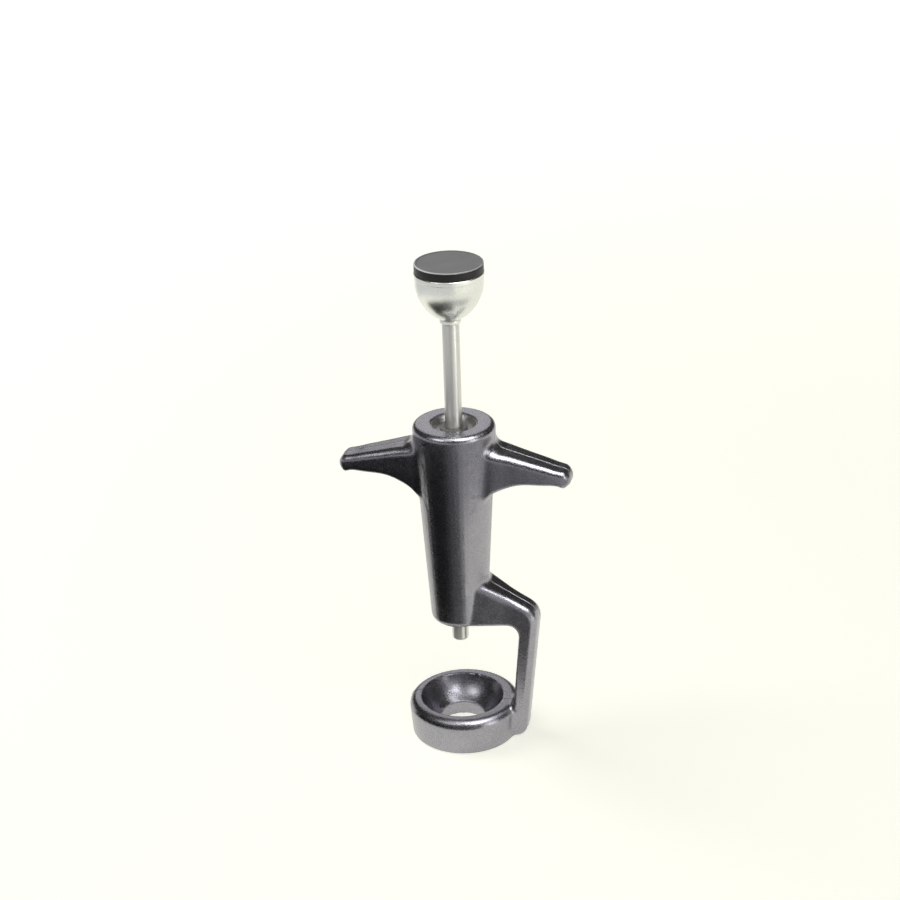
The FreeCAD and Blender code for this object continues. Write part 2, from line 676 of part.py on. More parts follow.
# Upper guide bush, pressed into the plug from above
upper_guide_bush = turned("upper_guide_bush", [
    (ref("{rod_diameter} / 2 + {running_clearance}"), PLUG_SEAT),
    (ref("{plug_bore_radius} - {seat_clearance}"), PLUG_SEAT),
    (ref("{plug_bore_radius} - {seat_clearance}"), PLUG_FLOOR),
    (ref("{bush_collar_radius}"), PLUG_FLOOR),
    (ref("{bush_collar_radius}"), PLUG_FLOOR + ref(" + {bush_collar_height}")),
    (ref("{rod_diameter} / 2 + {running_clearance}"), PLUG_FLOOR + ref(" + {bush_collar_height}")),
])

# Lower guide bush, flange on the chamber's floor
lower_guide_bush = turned("lower_guide_bush", [
    (ref("{rod_diameter} / 2 + {running_clearance}"), ref("{barrel_bottom} + {foot_bush_recess}")),
    (ref("{foot_bush_radius} - {seat_clearance}"), ref("{barrel_bottom} + {foot_bush_recess}")),
    (ref("{foot_bush_radius} - {seat_clearance}"), CHAMBER_FLOOR),
    (ref("{foot_bush_flange_radius}"), CHAMBER_FLOOR),
    (ref("{foot_bush_flange_radius}"), LOWER_WASHER),
    (ref("{rod_diameter} / 2 + {running_clearance}"), LOWER_WASHER),
])


def ring(label, outer, inner, foot, thickness):
    """a flat ring on the axis"""
    head = "%s + %s" % (foot, thickness)
    return turned(label, [(inner, foot), (outer, foot), (outer, head), (inner, head)])


FREE_BORE = ref("{rod_diameter} / 2 + {free_clearance}")
RUNNING_BORE = ref("{rod_diameter} / 2 + {running_clearance}")
WASHER_RADIUS = ref("{washer_radius}")
WASHER_THICKNESS = ref("{washer_thickness}")
bumper_ring = ring("bumper_ring", ref("{bumper_radius}"), FREE_BORE, BUMPER_FACE, ref("{bumper_thickness}"))
lower_spring_washer = ring("lower_spring_washer", WASHER_RADIUS, FREE_BORE, LOWER_WASHER, WASHER_THICKNESS)
upper_spring_washer = ring("upper_spring_washer", WASHER_RADIUS, RUNNING_BORE, UPPER_WASHER, WASHER_THICKNESS)

# Plunger rod with its punch end, clip groove and threaded stud
GROOVE_RADIUS = ref("{rod_diameter} / 2 - {clip_groove_depth}")
plunger_rod = turned("plunger_rod", [
    ("0", ref("{punch_tip_height}")),
    (ROD_RADIUS, ref("{punch_tip_height}")),
    (ROD_RADIUS, CLIP_FOOT + ref(" - {seat_clearance}")),
    (GROOVE_RADIUS, CLIP_FOOT + ref(" - {seat_clearance}")),
    (GROOVE_RADIUS, CLIP_TOP + ref(" + {seat_clearance}")),
    (ROD_RADIUS, CLIP_TOP + ref(" + {seat_clearance}")),
    (ROD_RADIUS, ref("{rod_shoulder_height}")),
    (STUD_RADIUS, ref("{rod_shoulder_height}")),
    (STUD_RADIUS, STUD_TOP),
    ("0", STUD_TOP),
])
dress(plunger_rod, "Fillet", "punch_round", ROD_RADIUS, ref("{punch_tip_height}"), ref("{punch_tip_round}"))
dress(plunger_rod, "Chamfer", "stud_lead", STUD_RADIUS, STUD_TOP, ref("{stud_chamfer}"))

# Retaining clip in the rod's groove, open on one side
clip_disc = cylinder("clip_disc", ref("{clip_radius}"), ref("{clip_thickness}"), CLIP_FOOT)
CLIP_BORE = ref("(%s + {seat_clearance})" % GROOVE_RADIUS)
clip_hole = cylinder("clip_hole", CLIP_BORE, ref("{clip_thickness}"), CLIP_FOOT)
clip_gate = doc.addObject("Part::Box", "clip_gate")
clip_gate.setExpression("Length", ref("{clip_radius}"))
clip_gate.setExpression("Width", ref("{clip_mouth}"))
clip_gate.setExpression("Height", ref("{clip_thickness}"))
clip_gate.setExpression("Placement.Base.x", "0")
clip_gate.setExpression("Placement.Base.y", ref("-{clip_mouth} / 2"))
clip_gate.setExpression("Placement.Base.z", CLIP_FOOT)
retaining_clip = cut("retaining_clip", clip_disc, fused("clip_opening", [clip_hole, clip_gate]))


# Return spring
SPARE_TURNS = 6
QUARTERS = 4
EASE_QUARTERS = 3.0
SPOTS_PER_QUARTER = 12


def spring_nodes():
    """places and directions along the spring's centre line, one for each quarter turn"""
    wire = size("spring_wire")
    radius = size("spring_mean_radius")
    ground = size("spring_ground_depth")
    foot = number(SPRING_FOOT) + wire / 2 - ground
    head = number(UPPER_WASHER) - wire / 2 + ground
    closed = wire + size("spring_end_gap")
    solid_room = number(UPPER_WASHER) - number(SPRING_FOOT) - size("plunger_stroke")
    turns = int(solid_room / wire) - SPARE_TURNS
    quarters = turns * QUARTERS
    weights = []
    for index in range(quarters):
        past_end_turn = min(index, quarters - 1 - index) - QUARTERS + 1
        weights.append(min(1.0, max(0.0, past_end_turn / EASE_QUARTERS)))
    closed_rise = closed / QUARTERS
    open_rise = ((head - foot) - quarters * closed_rise) / sum(weights)
    rises = [closed_rise + open_rise * weight for weight in weights]
    slopes = [rises[0]] + [(a + b) / 2 for a, b in zip(rises, rises[1:])] + [rises[-1]]
    nodes = []
    height = foot
    quarter_turn = 2 * math.pi / QUARTERS
    arc_length = radius * quarter_turn
    for index in range(quarters + 1):
        angle = quarter_turn * index
        place = Vector(radius * math.cos(angle), radius * math.sin(angle), height)
        course = Vector(-math.sin(angle) * arc_length, math.cos(angle) * arc_length, slopes[index])
        nodes.append((place, course.normalize()))
        if index < quarters:
            height = height + rises[index]
    return nodes, turns


def tangent_arc(start, course, end):
    """arc from start to end that leaves along course"""
    chord = end - start
    half = chord * 0.5
    side = chord.cross(course).cross(chord)
    side.normalize()
    angle = chord.getAngle(course)
    middle = start + half + side * (half.Length * math.tan(angle / 2))
    return Part.Arc(start, middle, end)


def biarc(first, second):
    """two arcs that join two places and their directions"""
    (start, leave), (end, arrive) = first, second
    gap = end - start
    both = leave + arrive
    a = 2 * (1 - leave.dot(arrive))
    b = 2 * gap.dot(both)
    c = -gap.dot(gap)
    reach = (-b + math.sqrt(b * b - 4 * a * c)) / (2 * a)
    joint = (start + leave * reach + end - arrive * reach) * 0.5
    course = (end - arrive * reach) - (start + leave * reach)
    course.normalize()
    return [tangent_arc(start, leave, joint), tangent_arc(joint, course, end)]


def spring_shape():
    """round wire along the coil, its two ends ground flat"""
    nodes, turns = spring_nodes()
    wire = size("spring_wire")
    (start, leave), (end, arrive) = nodes[0], nodes[-1]
    edges = [Part.LineSegment(start - leave * wire, start).toShape()]
    for first, second in zip(nodes, nodes[1:]):
        edges.extend(arc.toShape() for arc in biarc(first, second))
    edges.append(Part.LineSegment(end, end + arrive * wire).toShape())
    path = Part.Wire(edges)
    circle = Part.Wire([Part.Circle(start - leave * wire, leave, wire / 2).toShape()])
    coil = path.makePipeShell([circle], True, False)
    spots = path.discretize(Number=len(nodes) * SPOTS_PER_QUARTER)
    half_turn = 2 * SPOTS_PER_QUARTER
    pairs = ((spot, other) for index, spot in enumerate(spots)
             for other in spots[index + half_turn:index + 3 * half_turn])
    gap = min(spot.distanceToPoint(other) for spot, other in pairs) - wire
    print("return_spring: %d turns, wire %.1f mm long" % (turns, path.Length))
    print("return_spring: least gap to itself %.2f mm" % gap)
    section = math.pi * wire ** 2 / 4
    print("return_spring: volume %.2f, section times length %.2f" % (coil.Volume, section * path.Length))
    low, high = number(SPRING_FOOT), number(UPPER_WASHER)
    reach = size("spring_mean_radius") + 2 * wire
    room = Part.makeBox(2 * reach, 2 * reach, high - low, Vector(-reach, -reach, low))
    return coil.common(room)


return_spring = doc.addObject("Part::Feature", "return_spring")
return_spring.Shape = spring_shape()

# Knob: collar, bowl, fastening and cover
knob_collar = ring("knob_collar", ref("{collar_radius}"), ref("{stud_diameter} / 2 + {seat_clearance}"),
                   ref("{rod_shoulder_height}"), ref("{collar_height}"))
KNOB_RADIUS = ref("{knob_radius}")
BOWL_OUTER = ref("({knob_radius} - {knob_band_step})")
SIDE_CENTRE = ref("(%s - {knob_side_radius})" % BOWL_OUTER)
SIDE_DROP = ref("sqrt({knob_side_radius} ^ 2 - ({collar_radius} - %s) ^ 2)" % SIDE_CENTRE)
KNOB_CENTRE = "(%s + %s)" % (COLLAR_TOP, SIDE_DROP)
KNOB_RIM = ref("(%s + {knob_belt_height})" % KNOB_CENTRE)
BAND_FOOT = ref("(%s - {knob_band_height})" % KNOB_RIM)
BAND_SLOPE_FOOT = ref("(%s - {knob_band_step})" % BAND_FOOT)
INNER_RADIUS = ref("(%s - {knob_wall})" % BOWL_OUTER)
INNER_SIDE = ref("({knob_side_radius} - {knob_wall})")
FLOOR_DROP = "(%s - %s)" % (KNOB_CENTRE, KNOB_FLOOR)
FLOOR_HALF = "(%s + sqrt(%s ^ 2 - %s ^ 2))" % (SIDE_CENTRE, INNER_SIDE, FLOOR_DROP)
STUD_HOLE = ref("{stud_diameter} / 2 + {seat_clearance}")
knob_bowl = turned("knob_bowl", [
    (STUD_HOLE, COLLAR_TOP),
    (ref("{collar_radius}"), COLLAR_TOP),
    (BOWL_OUTER, KNOB_CENTRE),
    (BOWL_OUTER, BAND_SLOPE_FOOT),
    (KNOB_RADIUS, BAND_FOOT),
    (KNOB_RADIUS, KNOB_RIM),
    (INNER_RADIUS, KNOB_RIM),
    (INNER_RADIUS, KNOB_CENTRE),
    (FLOOR_HALF, KNOB_FLOOR),
    (STUD_HOLE, KNOB_FLOOR),
], {1: (SIDE_CENTRE, KNOB_CENTRE), 7: (SIDE_CENTRE, KNOB_CENTRE)})
dress(knob_bowl, "Fillet", "rim_round", KNOB_RADIUS, KNOB_RIM, ref("{knob_rim_round}"))

LOCK_HEIGHT = ref("{lock_washer_height}")
lock_washer_disc = cylinder("lock_washer_disc", ref("{lock_washer_radius}"), LOCK_HEIGHT, KNOB_FLOOR)
lock_washer_hole = cylinder("lock_washer_hole", STUD_HOLE, LOCK_HEIGHT, KNOB_FLOOR)
lock_washer_gate = doc.addObject("Part::Box", "lock_washer_gate")
lock_washer_gate.setExpression("Length", ref("{lock_washer_radius}"))
lock_washer_gate.setExpression("Width", ref("{lock_washer_slit}"))
lock_washer_gate.setExpression("Height", LOCK_HEIGHT)
lock_washer_gate.setExpression("Placement.Base.y", ref("-{lock_washer_slit} / 2"))
lock_washer_gate.setExpression("Placement.Base.z", KNOB_FLOOR)
knob_lock_washer = cut("knob_lock_washer", lock_washer_disc,
                       fused("lock_washer_opening", [lock_washer_hole, lock_washer_gate]))

NUT_FOOT = ref("(%s + {lock_washer_height})" % KNOB_FLOOR)
nut_prism = doc.addObject("Part::Prism", "nut_prism")
nut_prism.Polygon = 6
nut_prism.setExpression("Circumradius", ref("{nut_width} / sqrt(3)"))
nut_prism.setExpression("Height", ref("{nut_height}"))
nut_prism.setExpression("Placement.Base.z", NUT_FOOT)
nut_hole = cylinder("nut_hole", STUD_HOLE, ref("{nut_height}"), NUT_FOOT)
knob_nut = cut("knob_nut", nut_prism, nut_hole)

CAP_TOP = ref("(%s + {cap_thickness})" % KNOB_RIM)
CAP_FACE = ref("(%s - {cap_lip_height})" % CAP_TOP)
SKIRT_FOOT = ref("(%s - {cap_skirt_depth})" % KNOB_RIM)
SKIRT_RADIUS = ref("(%s - {seat_clearance})" % INNER_RADIUS)
knob_cap = turned("knob_cap", [
    ("0", KNOB_RIM),
    (SKIRT_RADIUS + ref(" - {cap_skirt_wall}"), KNOB_RIM),
    (SKIRT_RADIUS + ref(" - {cap_skirt_wall}"), SKIRT_FOOT),
    (SKIRT_RADIUS, SKIRT_FOOT),
    (SKIRT_RADIUS, KNOB_RIM),
    (ref("{cap_radius}"), KNOB_RIM),
    (ref("{cap_radius}"), CAP_TOP),
    (ref("{cap_radius} - {cap_lip_width}"), CAP_TOP),
    (ref("{cap_radius} - {cap_lip_width} - {cap_lip_slope}"), CAP_FACE),
    ("0", CAP_FACE),
])
dress(knob_cap, "Fillet", "cap_round", ref("{cap_radius}"), CAP_TOP, ref("{cap_edge_round}"))
doc.recompute()

PIECES = [
    body_casting, barrel_plug, upper_guide_bush, lower_guide_bush, bumper_ring, lower_spring_washer,
    return_spring, upper_spring_washer, retaining_clip, plunger_rod, knob_collar, knob_bowl,
    knob_lock_washer, knob_nut, knob_cap,
]

for item in doc.Objects:
    if "Invalid" in item.State or "Error" in item.State:
        raise RuntimeError("%s did not build: %s" % (item.Label, item.State))
for piece in PIECES:
    shape = piece.Shape
    if shape.isNull() or not shape.isValid() or not shape.Solids:
        raise RuntimeError("%s has no valid solid" % piece.Label)

os.makedirs("parts", exist_ok=True)
for piece in PIECES:
    piece.Shape.exportStep(os.path.join("parts", piece.Label + ".step"))
    box = piece.Shape.BoundBox
    print("%-20s solids %d volume %9.2f  x %.2f..%.2f y %.2f..%.2f z %.2f..%.2f" % (
        piece.Label, len(piece.Shape.Solids), piece.Shape.Volume,
        box.XMin, box.XMax, box.YMin, box.YMax, box.ZMin, box.ZMax))
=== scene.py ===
"""Plunger fruit stoner: a cast body with two finger wings and a cup, a bright rod and a push knob.

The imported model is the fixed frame. Each operator dresses one piece or one group of pieces.
Lengths are metres and colours are linear.
"""
import bpy
import bmesh
import math
from bpy.props import FloatProperty, FloatVectorProperty, IntProperty, PointerProperty
from mathutils import Matrix, Vector


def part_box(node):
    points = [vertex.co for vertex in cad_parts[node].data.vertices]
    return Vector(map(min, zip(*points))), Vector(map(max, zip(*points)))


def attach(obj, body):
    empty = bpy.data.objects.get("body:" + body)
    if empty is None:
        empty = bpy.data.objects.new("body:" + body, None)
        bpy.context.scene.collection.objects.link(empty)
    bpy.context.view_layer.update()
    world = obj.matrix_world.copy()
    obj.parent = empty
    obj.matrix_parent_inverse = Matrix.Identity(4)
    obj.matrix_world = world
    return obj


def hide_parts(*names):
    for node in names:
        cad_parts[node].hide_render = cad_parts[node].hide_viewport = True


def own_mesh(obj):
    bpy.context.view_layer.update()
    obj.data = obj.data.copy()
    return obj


bl_info = {
    "name": "Fruit stoner",
    "version": (1, 0, 0),
    "blender": (4, 5, 0),
    "location": "View3D > Sidebar > Stoner",
    "description": "Dresses the plunger fruit stoner on its packed frame",
    "category": "Object",
}

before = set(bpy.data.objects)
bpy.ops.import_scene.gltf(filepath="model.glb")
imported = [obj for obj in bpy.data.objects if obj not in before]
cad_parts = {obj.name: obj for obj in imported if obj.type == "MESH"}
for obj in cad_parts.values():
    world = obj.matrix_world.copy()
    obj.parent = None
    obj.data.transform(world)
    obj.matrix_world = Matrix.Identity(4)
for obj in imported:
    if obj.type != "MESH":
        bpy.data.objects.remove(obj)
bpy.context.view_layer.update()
MM = 0.001

# Fits and turned forms
FIT = 0.02 * MM
ROD_PLAY = 0.05 * MM
STUD_RADIUS = 2.0 * MM
BUSH_RADIUS = 4.0 * MM
CLIP_GROOVE = 0.6 * MM
PLUG_FLOOR = 0.6 * MM
PLUG_RIM = 0.4 * MM
PLUG_DISH = 1.5 * MM
ROUND_STEPS = 6
SIDE_STEPS = 30
SHARP_ANGLE = math.radians(38)

# Knob
BOWL_SIDE = 16.2 * MM
BOWL_WALL = 1.4 * MM
BOWL_FLOOR = 2.0 * MM
CAP_RADIUS = 11.85 * MM
CAP_SKIRT = 1.5 * MM
CAP_RIM = 0.95 * MM
CAP_RIM_FOOT = 1.15 * MM
CAP_SINK = 0.14 * MM
# How far in from the cap's outer edge and down from its top the painted highlight on the lip starts
LIP_HIGHLIGHT_INSET = 0.35 * MM

# Casting and the ends of its mould seam
BOWL_MOUTH = 15.1 * MM
CUP_HEIGHT = 13.5 * MM
EASE_SHARE = 0.5
EASE_ROUNDS = 2
SEAM_OFF_BORE = 0.6 * MM
SEAM_OFF_RIM = 1.0 * MM
SEAM_OFF_FOOT = 0.3 * MM
SEAM_OFF_MOUTH = 1.4 * MM
SEAM_OFF_TIP = 1.0 * MM
SEAM_SIDES = 8

# Distances at which points are merged, the least length, and the angle that still counts as straight
MERGE_TURNED = 1e-8
MERGE_CAD = 1e-6
MERGE_SEAM = 2e-5
CUT_REACH = 1e-7
ON_AXIS = 1e-7
NO_LENGTH = 1e-9
STRAIGHT = 1e-3

# Return spring; the climb is (share of the wire, share of the height)
COIL_RADIUS = 5.2 * MM
COIL_WIRE = 1.2 * MM
COIL_TURNS = 14.0
COIL_POINTS = 560
COIL_SIDES = 12
COIL_CLIMB = ((0.0, 0.0), (0.07, 0.026), (0.12, 0.07), (0.88, 0.93), (0.93, 0.974), (1.0, 1.0))

# Finishes that stay as they are: colour, then roughness
PLUG_METAL = ((0.50, 0.49, 0.48), 0.36)
BUSH_NYLON = ((0.16, 0.16, 0.16), 0.45)
SPRING_WIRE = ((0.52, 0.52, 0.52), 0.30)
WASHER_STEEL = ((0.62, 0.62, 0.61), 0.32)
STOP_RUBBER = ((0.035, 0.035, 0.036), 0.62)
SEAM_ROUGHNESS = 0.30
CAP_ROUGHNESS = 0.42
CAP_SHINE = 0.35
LATHE_GROOVE = 0.22 * MM
PLASTIC_GRAIN = 0.35 * MM
# Painted highlight on the cap's lip and painted lighter cap top: the blur of their edges, then the share of
# the highlight colour painted over the whole top
LIP_BLUR = 0.1 * MM
PAINTED_TOP_SHARE = 0.22

# Depths under the casting's faced top between which its tone grows lighter
FACED_LOW = 0.7 * MM
FACED_HIGH = 0.2 * MM

# Camera: angles in degrees, and the way from it to the tool's foot in millimetres, right, up and forward
CAMERA_TURN = 14.8
CAMERA_PITCH = 24.94
CAMERA_ROLL = 1.937
CAMERA_OFFSET = (5.091, -102.642, 767.0)
CAMERA_AZIMUTH = math.radians(CAMERA_TURN - 90.0)
SENSOR_WIDTH = 36.0

# Floor, surroundings and lamps
AIM = (0.0, 0.0, 90 * MM)
LAMP_COLOUR = (1.0, 1.0, 0.99)
CARD_STEPS = 24
FLOOR_REACH = 6.0
FLOOR_TONE = 0.55
FLOOR_GLOW = 1.0
FLOOR_DIM = 0.71
FLOOR_NEAR = 0.20
FLOOR_FAR = 1.10
WORLD_LEVEL = 0.05

# Each card: name, the grey that it glows, and its outline as (radius, height, start, end), the last two as
# turns
CARDS = (
    ("dark_card", 0.004, ((46 * MM, 1 * MM, -106.0, -26.0), (78 * MM, 1 * MM, -106.0, -26.0),
                          (78 * MM, 101 * MM, -106.0, -24.0))),
    ("dim_card", 0.10, ((44 * MM, 1 * MM, -40.0, 16.0), (80 * MM, 1 * MM, -40.0, 14.0),
                        (80 * MM, 101 * MM, -44.0, -14.0))),
    ("shade_card", 0.20, ((44 * MM, 1 * MM, 16.0, 26.0), (82 * MM, 1 * MM, 0.0, 24.0),
                          (82 * MM, 60 * MM, -20.0, 14.0), (82 * MM, 101 * MM, -24.0, 6.0))),
    ("low_card", 0.46, ((84 * MM, 48 * MM, -16.0, 20.0), (84 * MM, 66 * MM, -18.0, 70.0),
                        (84 * MM, 104 * MM, -22.0, 80.0))),
    ("grey_card", 0.72, ((0.28, 2 * MM, -140.0, 16.0), (0.75, 2 * MM, -140.0, 16.0),
                         (0.75, 0.15, -140.0, 16.0))),
)

# Each lamp: name, turn, rise, distance, width, height, level, and whether it shines in metal
SOFTBOXES = (
    ("overhead", 46.0, 62.0, 1.0, 0.65, 0.65, 6.0, True),
    ("overhead_left", -52.0, 46.0, 1.1, 0.50, 0.50, 3.6, True),
    ("back", -174.0, 24.0, 1.1, 0.58, 0.45, 0.95, True),
    ("sky", 8.0, 80.0, 1.3, 0.9, 0.9, 1.1, True),
    ("right", 52.0, 10.0, 1.1, 0.35, 0.8, 3.0, True),
    ("fill_left", -110.0, 52.0, 1.2, 0.8, 0.8, 4.2, False),
    ("fill_front", 20.0, 60.0, 1.2, 0.8, 0.8, 1.6, False),
)


# Finishes

class Amount:
    """a number that varies over a surface: arithmetic on it adds Math nodes"""

    def __init__(self, finish, socket):
        self.finish = finish
        self.socket = socket

    def math(self, operation, first, second):
        """one Math node on two values"""
        return self.finish.node("ShaderNodeMath", {"operation": operation}, {0: first, 1: second})

    def __add__(self, other):
        return self.math("ADD", self, other)

    def __radd__(self, other):
        return self.math("ADD", other, self)

    def __sub__(self, other):
        return self.math("SUBTRACT", self, other)

    def __rsub__(self, other):
        return self.math("SUBTRACT", other, self)

    def __mul__(self, other):
        return self.math("MULTIPLY", self, other)

    def __rmul__(self, other):
        return self.math("MULTIPLY", other, self)


class Finish:
    """one material: a Principled shader and the nodes that feed it"""

    def __init__(self, name, **fixed):
        self.material = bpy.data.materials.new(name)
        self.material.use_nodes = True
        self.tree = self.material.node_tree
        self.shader = self.tree.nodes["Principled BSDF"]
        self.place = self.node("ShaderNodeTexCoord", output="Object")
        for socket, value in fixed.items():
            label = socket.replace("_", " ").title().replace("Ior", "IOR")
            self.shader.inputs[label].default_value = value

    def node(self, kind, settings=None, inputs=None, output=0):
        """any node: its settings first, then the values or links of its sockets"""
        made = self.tree.nodes.new(kind)
        for key, value in (settings or {}).items():
            setattr(made, key, value)
        for key, value in (inputs or {}).items():
            if isinstance(value, Amount):
                self.tree.links.new(value.socket, made.inputs[key])
            else:
                made.inputs[key].default_value = value
        return Amount(self, made.outputs[output])

    def feed(self, socket, value):
        """a varying value into a socket of the shader"""
        self.tree.links.new(value.socket, self.shader.inputs[socket])

    def noise(self, size, detail=2.0, stretch=(1.0, 1.0, 1.0)):
        """cloudy pattern, 0 to 1, with lumps of about this size in metres"""
        spot = self.node("ShaderNodeVectorMath", {"operation": "MULTIPLY"}, {0: self.place, 1: stretch})
        return self.node("ShaderNodeTexNoise", inputs={"Vector": spot, "Scale": 1.0 / size, "Detail": detail})

    def radius(self):
        """distance from the plunger's axis"""
        flat = self.node("ShaderNodeVectorMath", {"operation": "MULTIPLY"},
                         {0: self.place, 1: (1.0, 1.0, 0.0)})
        return self.node("ShaderNodeVectorMath", {"operation": "LENGTH"}, {0: flat}, output="Value")

    def height(self):
        """height over the plane that the tool stands on"""
        return self.node("ShaderNodeSeparateXYZ", inputs={"Vector": self.place}, output="Z")

    def sharpen(self, value, low, high):
        """the part of a value between low and high, spread over 0 to 1"""
        return self.node("ShaderNodeMapRange", {"clamp": True, "interpolation_type": "SMOOTHSTEP"},
                         {"Value": value, "From Min": low, "From Max": high})

    def tint(self, share, low, high):
        """colour between two colours"""
        return self.node("ShaderNodeMix", {"data_type": "RGBA"}, {0: share, 6: low, 7: high}, output=2)

    def relief(self, height, depth):
        """fine relief: height 0 to 1 stands this deep, in metres"""
        return self.node("ShaderNodeBump", inputs={"Height": height, "Distance": depth, "Strength": 1.0})


def shade(colour, factor):
    """a colour made lighter or darker, with full alpha"""
    return tuple(min(1.0, channel * factor) for channel in colour[:3]) + (1.0,)


def cast_coat(look):
    """satin grey coat over sand-grained cast metal"""
    made = Finish("cast_coat", metallic=look.coat_metallic)
    grain = made.noise(look.coat_grain, detail=2.0)
    flecks = made.sharpen(made.noise(look.coat_grain * 0.7, detail=1.0), 0.56, 0.74)
    cloud = made.noise(look.coat_grain * 16, detail=2.0)
    share = 0.55 * grain + 0.35 * flecks + 0.15 * cloud
    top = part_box("body_casting")[1][2]
    faced = made.sharpen(made.height(), top - FACED_LOW, top - FACED_HIGH)
    share = share + 0.12 * faced
    made.feed("Base Color", made.tint(share, shade(look.coat_colour, 0.50), shade(look.coat_colour, 1.55)))
    made.feed("Roughness", look.coat_roughness + 0.16 * (grain - 0.5) + 0.08 * (cloud - 0.5))
    made.feed("Normal", made.relief(0.7 * grain + 0.5 * flecks + 0.3 * cloud, look.coat_relief))
    return made.material


def drawn_steel(name, colour, roughness, grain=0.5 * MM, spread=0.0):
    """bright steel with fine grain along the plunger; spread stretches its highlights that way"""
    made = Finish(name, metallic=1.0, anisotropic=spread, anisotropic_rotation=0.25)
    lines = made.noise(grain, detail=3.0, stretch=(1.0, 1.0, 0.03))
    specks = made.sharpen(made.noise(grain * 0.5, detail=1.0), 0.60, 0.78)
    cloud = made.noise(grain * 16, detail=2.0)
    share = 0.6 * lines + 0.25 * cloud + 0.1 - 0.25 * specks
    made.feed("Base Color", made.tint(share, shade(colour, 0.78), shade(colour, 1.12)))
    made.feed("Roughness", roughness + 0.12 * (lines - 0.5) + 0.08 * specks)
    made.feed("Normal", made.relief(lines, 0.004 * MM))
    return made.material


def polished(name, colour, roughness):
    """mirror polish with faint wiping marks"""
    made = Finish(name, metallic=1.0)
    wipes = made.noise(0.7 * MM, detail=3.0, stretch=(1.0, 1.0, 0.2))
    cloud = made.noise(9 * MM, detail=2.0)
    specks = made.sharpen(made.noise(0.45 * MM, detail=1.0), 0.66, 0.8)
    made.feed("Base Color", made.tint(cloud + 0.2 * specks, shade(colour, 0.94), shade(colour, 1.05)))
    made.feed("Roughness", roughness + 0.05 * wipes + 0.05 * cloud + 0.08 * specks)
    made.feed("Normal", made.relief(cloud + 0.02 * wipes, 0.05 * MM))
    return made.material


def turned_metal(name, colour, roughness):
    """dull metal with the rings that a lathe leaves"""
    made = Finish(name, metallic=0.9)
    turn = made.radius() * (2 * math.pi / LATHE_GROOVE)
    rings = 0.5 + 0.5 * made.node("ShaderNodeMath", {"operation": "SINE"}, {0: turn})
    cloud = made.noise(2.5 * MM, detail=3.0)
    share = 0.45 * rings + 0.75 * cloud - 0.1
    made.feed("Base Color", made.tint(share, shade(colour, 0.62), shade(colour, 1.25)))
    made.feed("Roughness", roughness + 0.12 * cloud)
    made.feed("Normal", made.relief(rings + 0.5 * cloud, 0.006 * MM))
    return made.material


def moulded(name, colour, roughness, relief=0.012 * MM, shine=0.5, lip=None):
    """plastic or rubber with a fine spark-eroded grain

    A lip is (radius, height, colour). Below that height the part is painted darker, at 0.35 of its own
    colour, as painted shade on its side. Above it the top is painted lighter towards that colour, as painted
    light. From that radius out the top's edge takes that colour, as a painted highlight.
    """
    made = Finish(name, metallic=0.0, specular_ior_level=shine)
    fine = made.noise(PLASTIC_GRAIN, detail=2.0)
    cloud = made.noise(PLASTIC_GRAIN * 18, detail=3.0)
    if lip:
        edge, top, painted_highlight = lip
        # Masks for painted light: out is the lip's edge and up is the top. The edge gets a painted highlight,
        # the top is painted lighter and the side below is painted darker
        out = made.sharpen(made.radius(), edge - LIP_BLUR, edge + LIP_BLUR)
        up = made.sharpen(made.height(), top - LIP_BLUR, top + LIP_BLUR)
        tone = PAINTED_TOP_SHARE * up + (1.0 - PAINTED_TOP_SHARE) * out * up
        made.feed("Base Color", made.tint(tone + 0.12 * (cloud - 0.5), shade(colour, 0.35), painted_highlight))
    else:
        share = 0.4 * fine + 0.6 * cloud
        made.feed("Base Color", made.tint(share, shade(colour, 0.82), shade(colour, 1.18)))
    made.feed("Roughness", roughness + 0.10 * (fine - 0.5) + 0.12 * (cloud - 0.5))
    made.feed("Normal", made.relief(fine, relief))
    return made.material


# Meshes

def rounded_outline(corners):
    """outline (radius, height) with each corner (radius, height, rounding) turned into an arc"""
    points = []
    count = len(corners)
    for index, (radius, height, rounding) in enumerate(corners):
        here = Vector((radius, height))
        before = Vector(corners[index - 1][:2]) - here
        after = Vector(corners[(index + 1) % count][:2]) - here
        if rounding <= 0 or before.length < NO_LENGTH or after.length < NO_LENGTH:
            points.append(here)
            continue
        before.normalize()
        after.normalize()
        turn = before.angle(after)
        if turn > math.pi - STRAIGHT:
            points.append(here)
            continue
        setback = rounding / math.tan(turn / 2)
        centre = here + (before + after).normalized() * (rounding / math.sin(turn / 2))
        start = here + before * setback - centre
        end = here + after * setback - centre
        sweep = math.atan2(start.x * end.y - start.y * end.x, start.dot(end))
        for step in range(ROUND_STEPS + 1):
            angle = sweep * step / ROUND_STEPS
            turned = Vector((start.x * math.cos(angle) - start.y * math.sin(angle),
                             start.x * math.sin(angle) + start.y * math.cos(angle)))
            points.append(centre + turned)
    return points


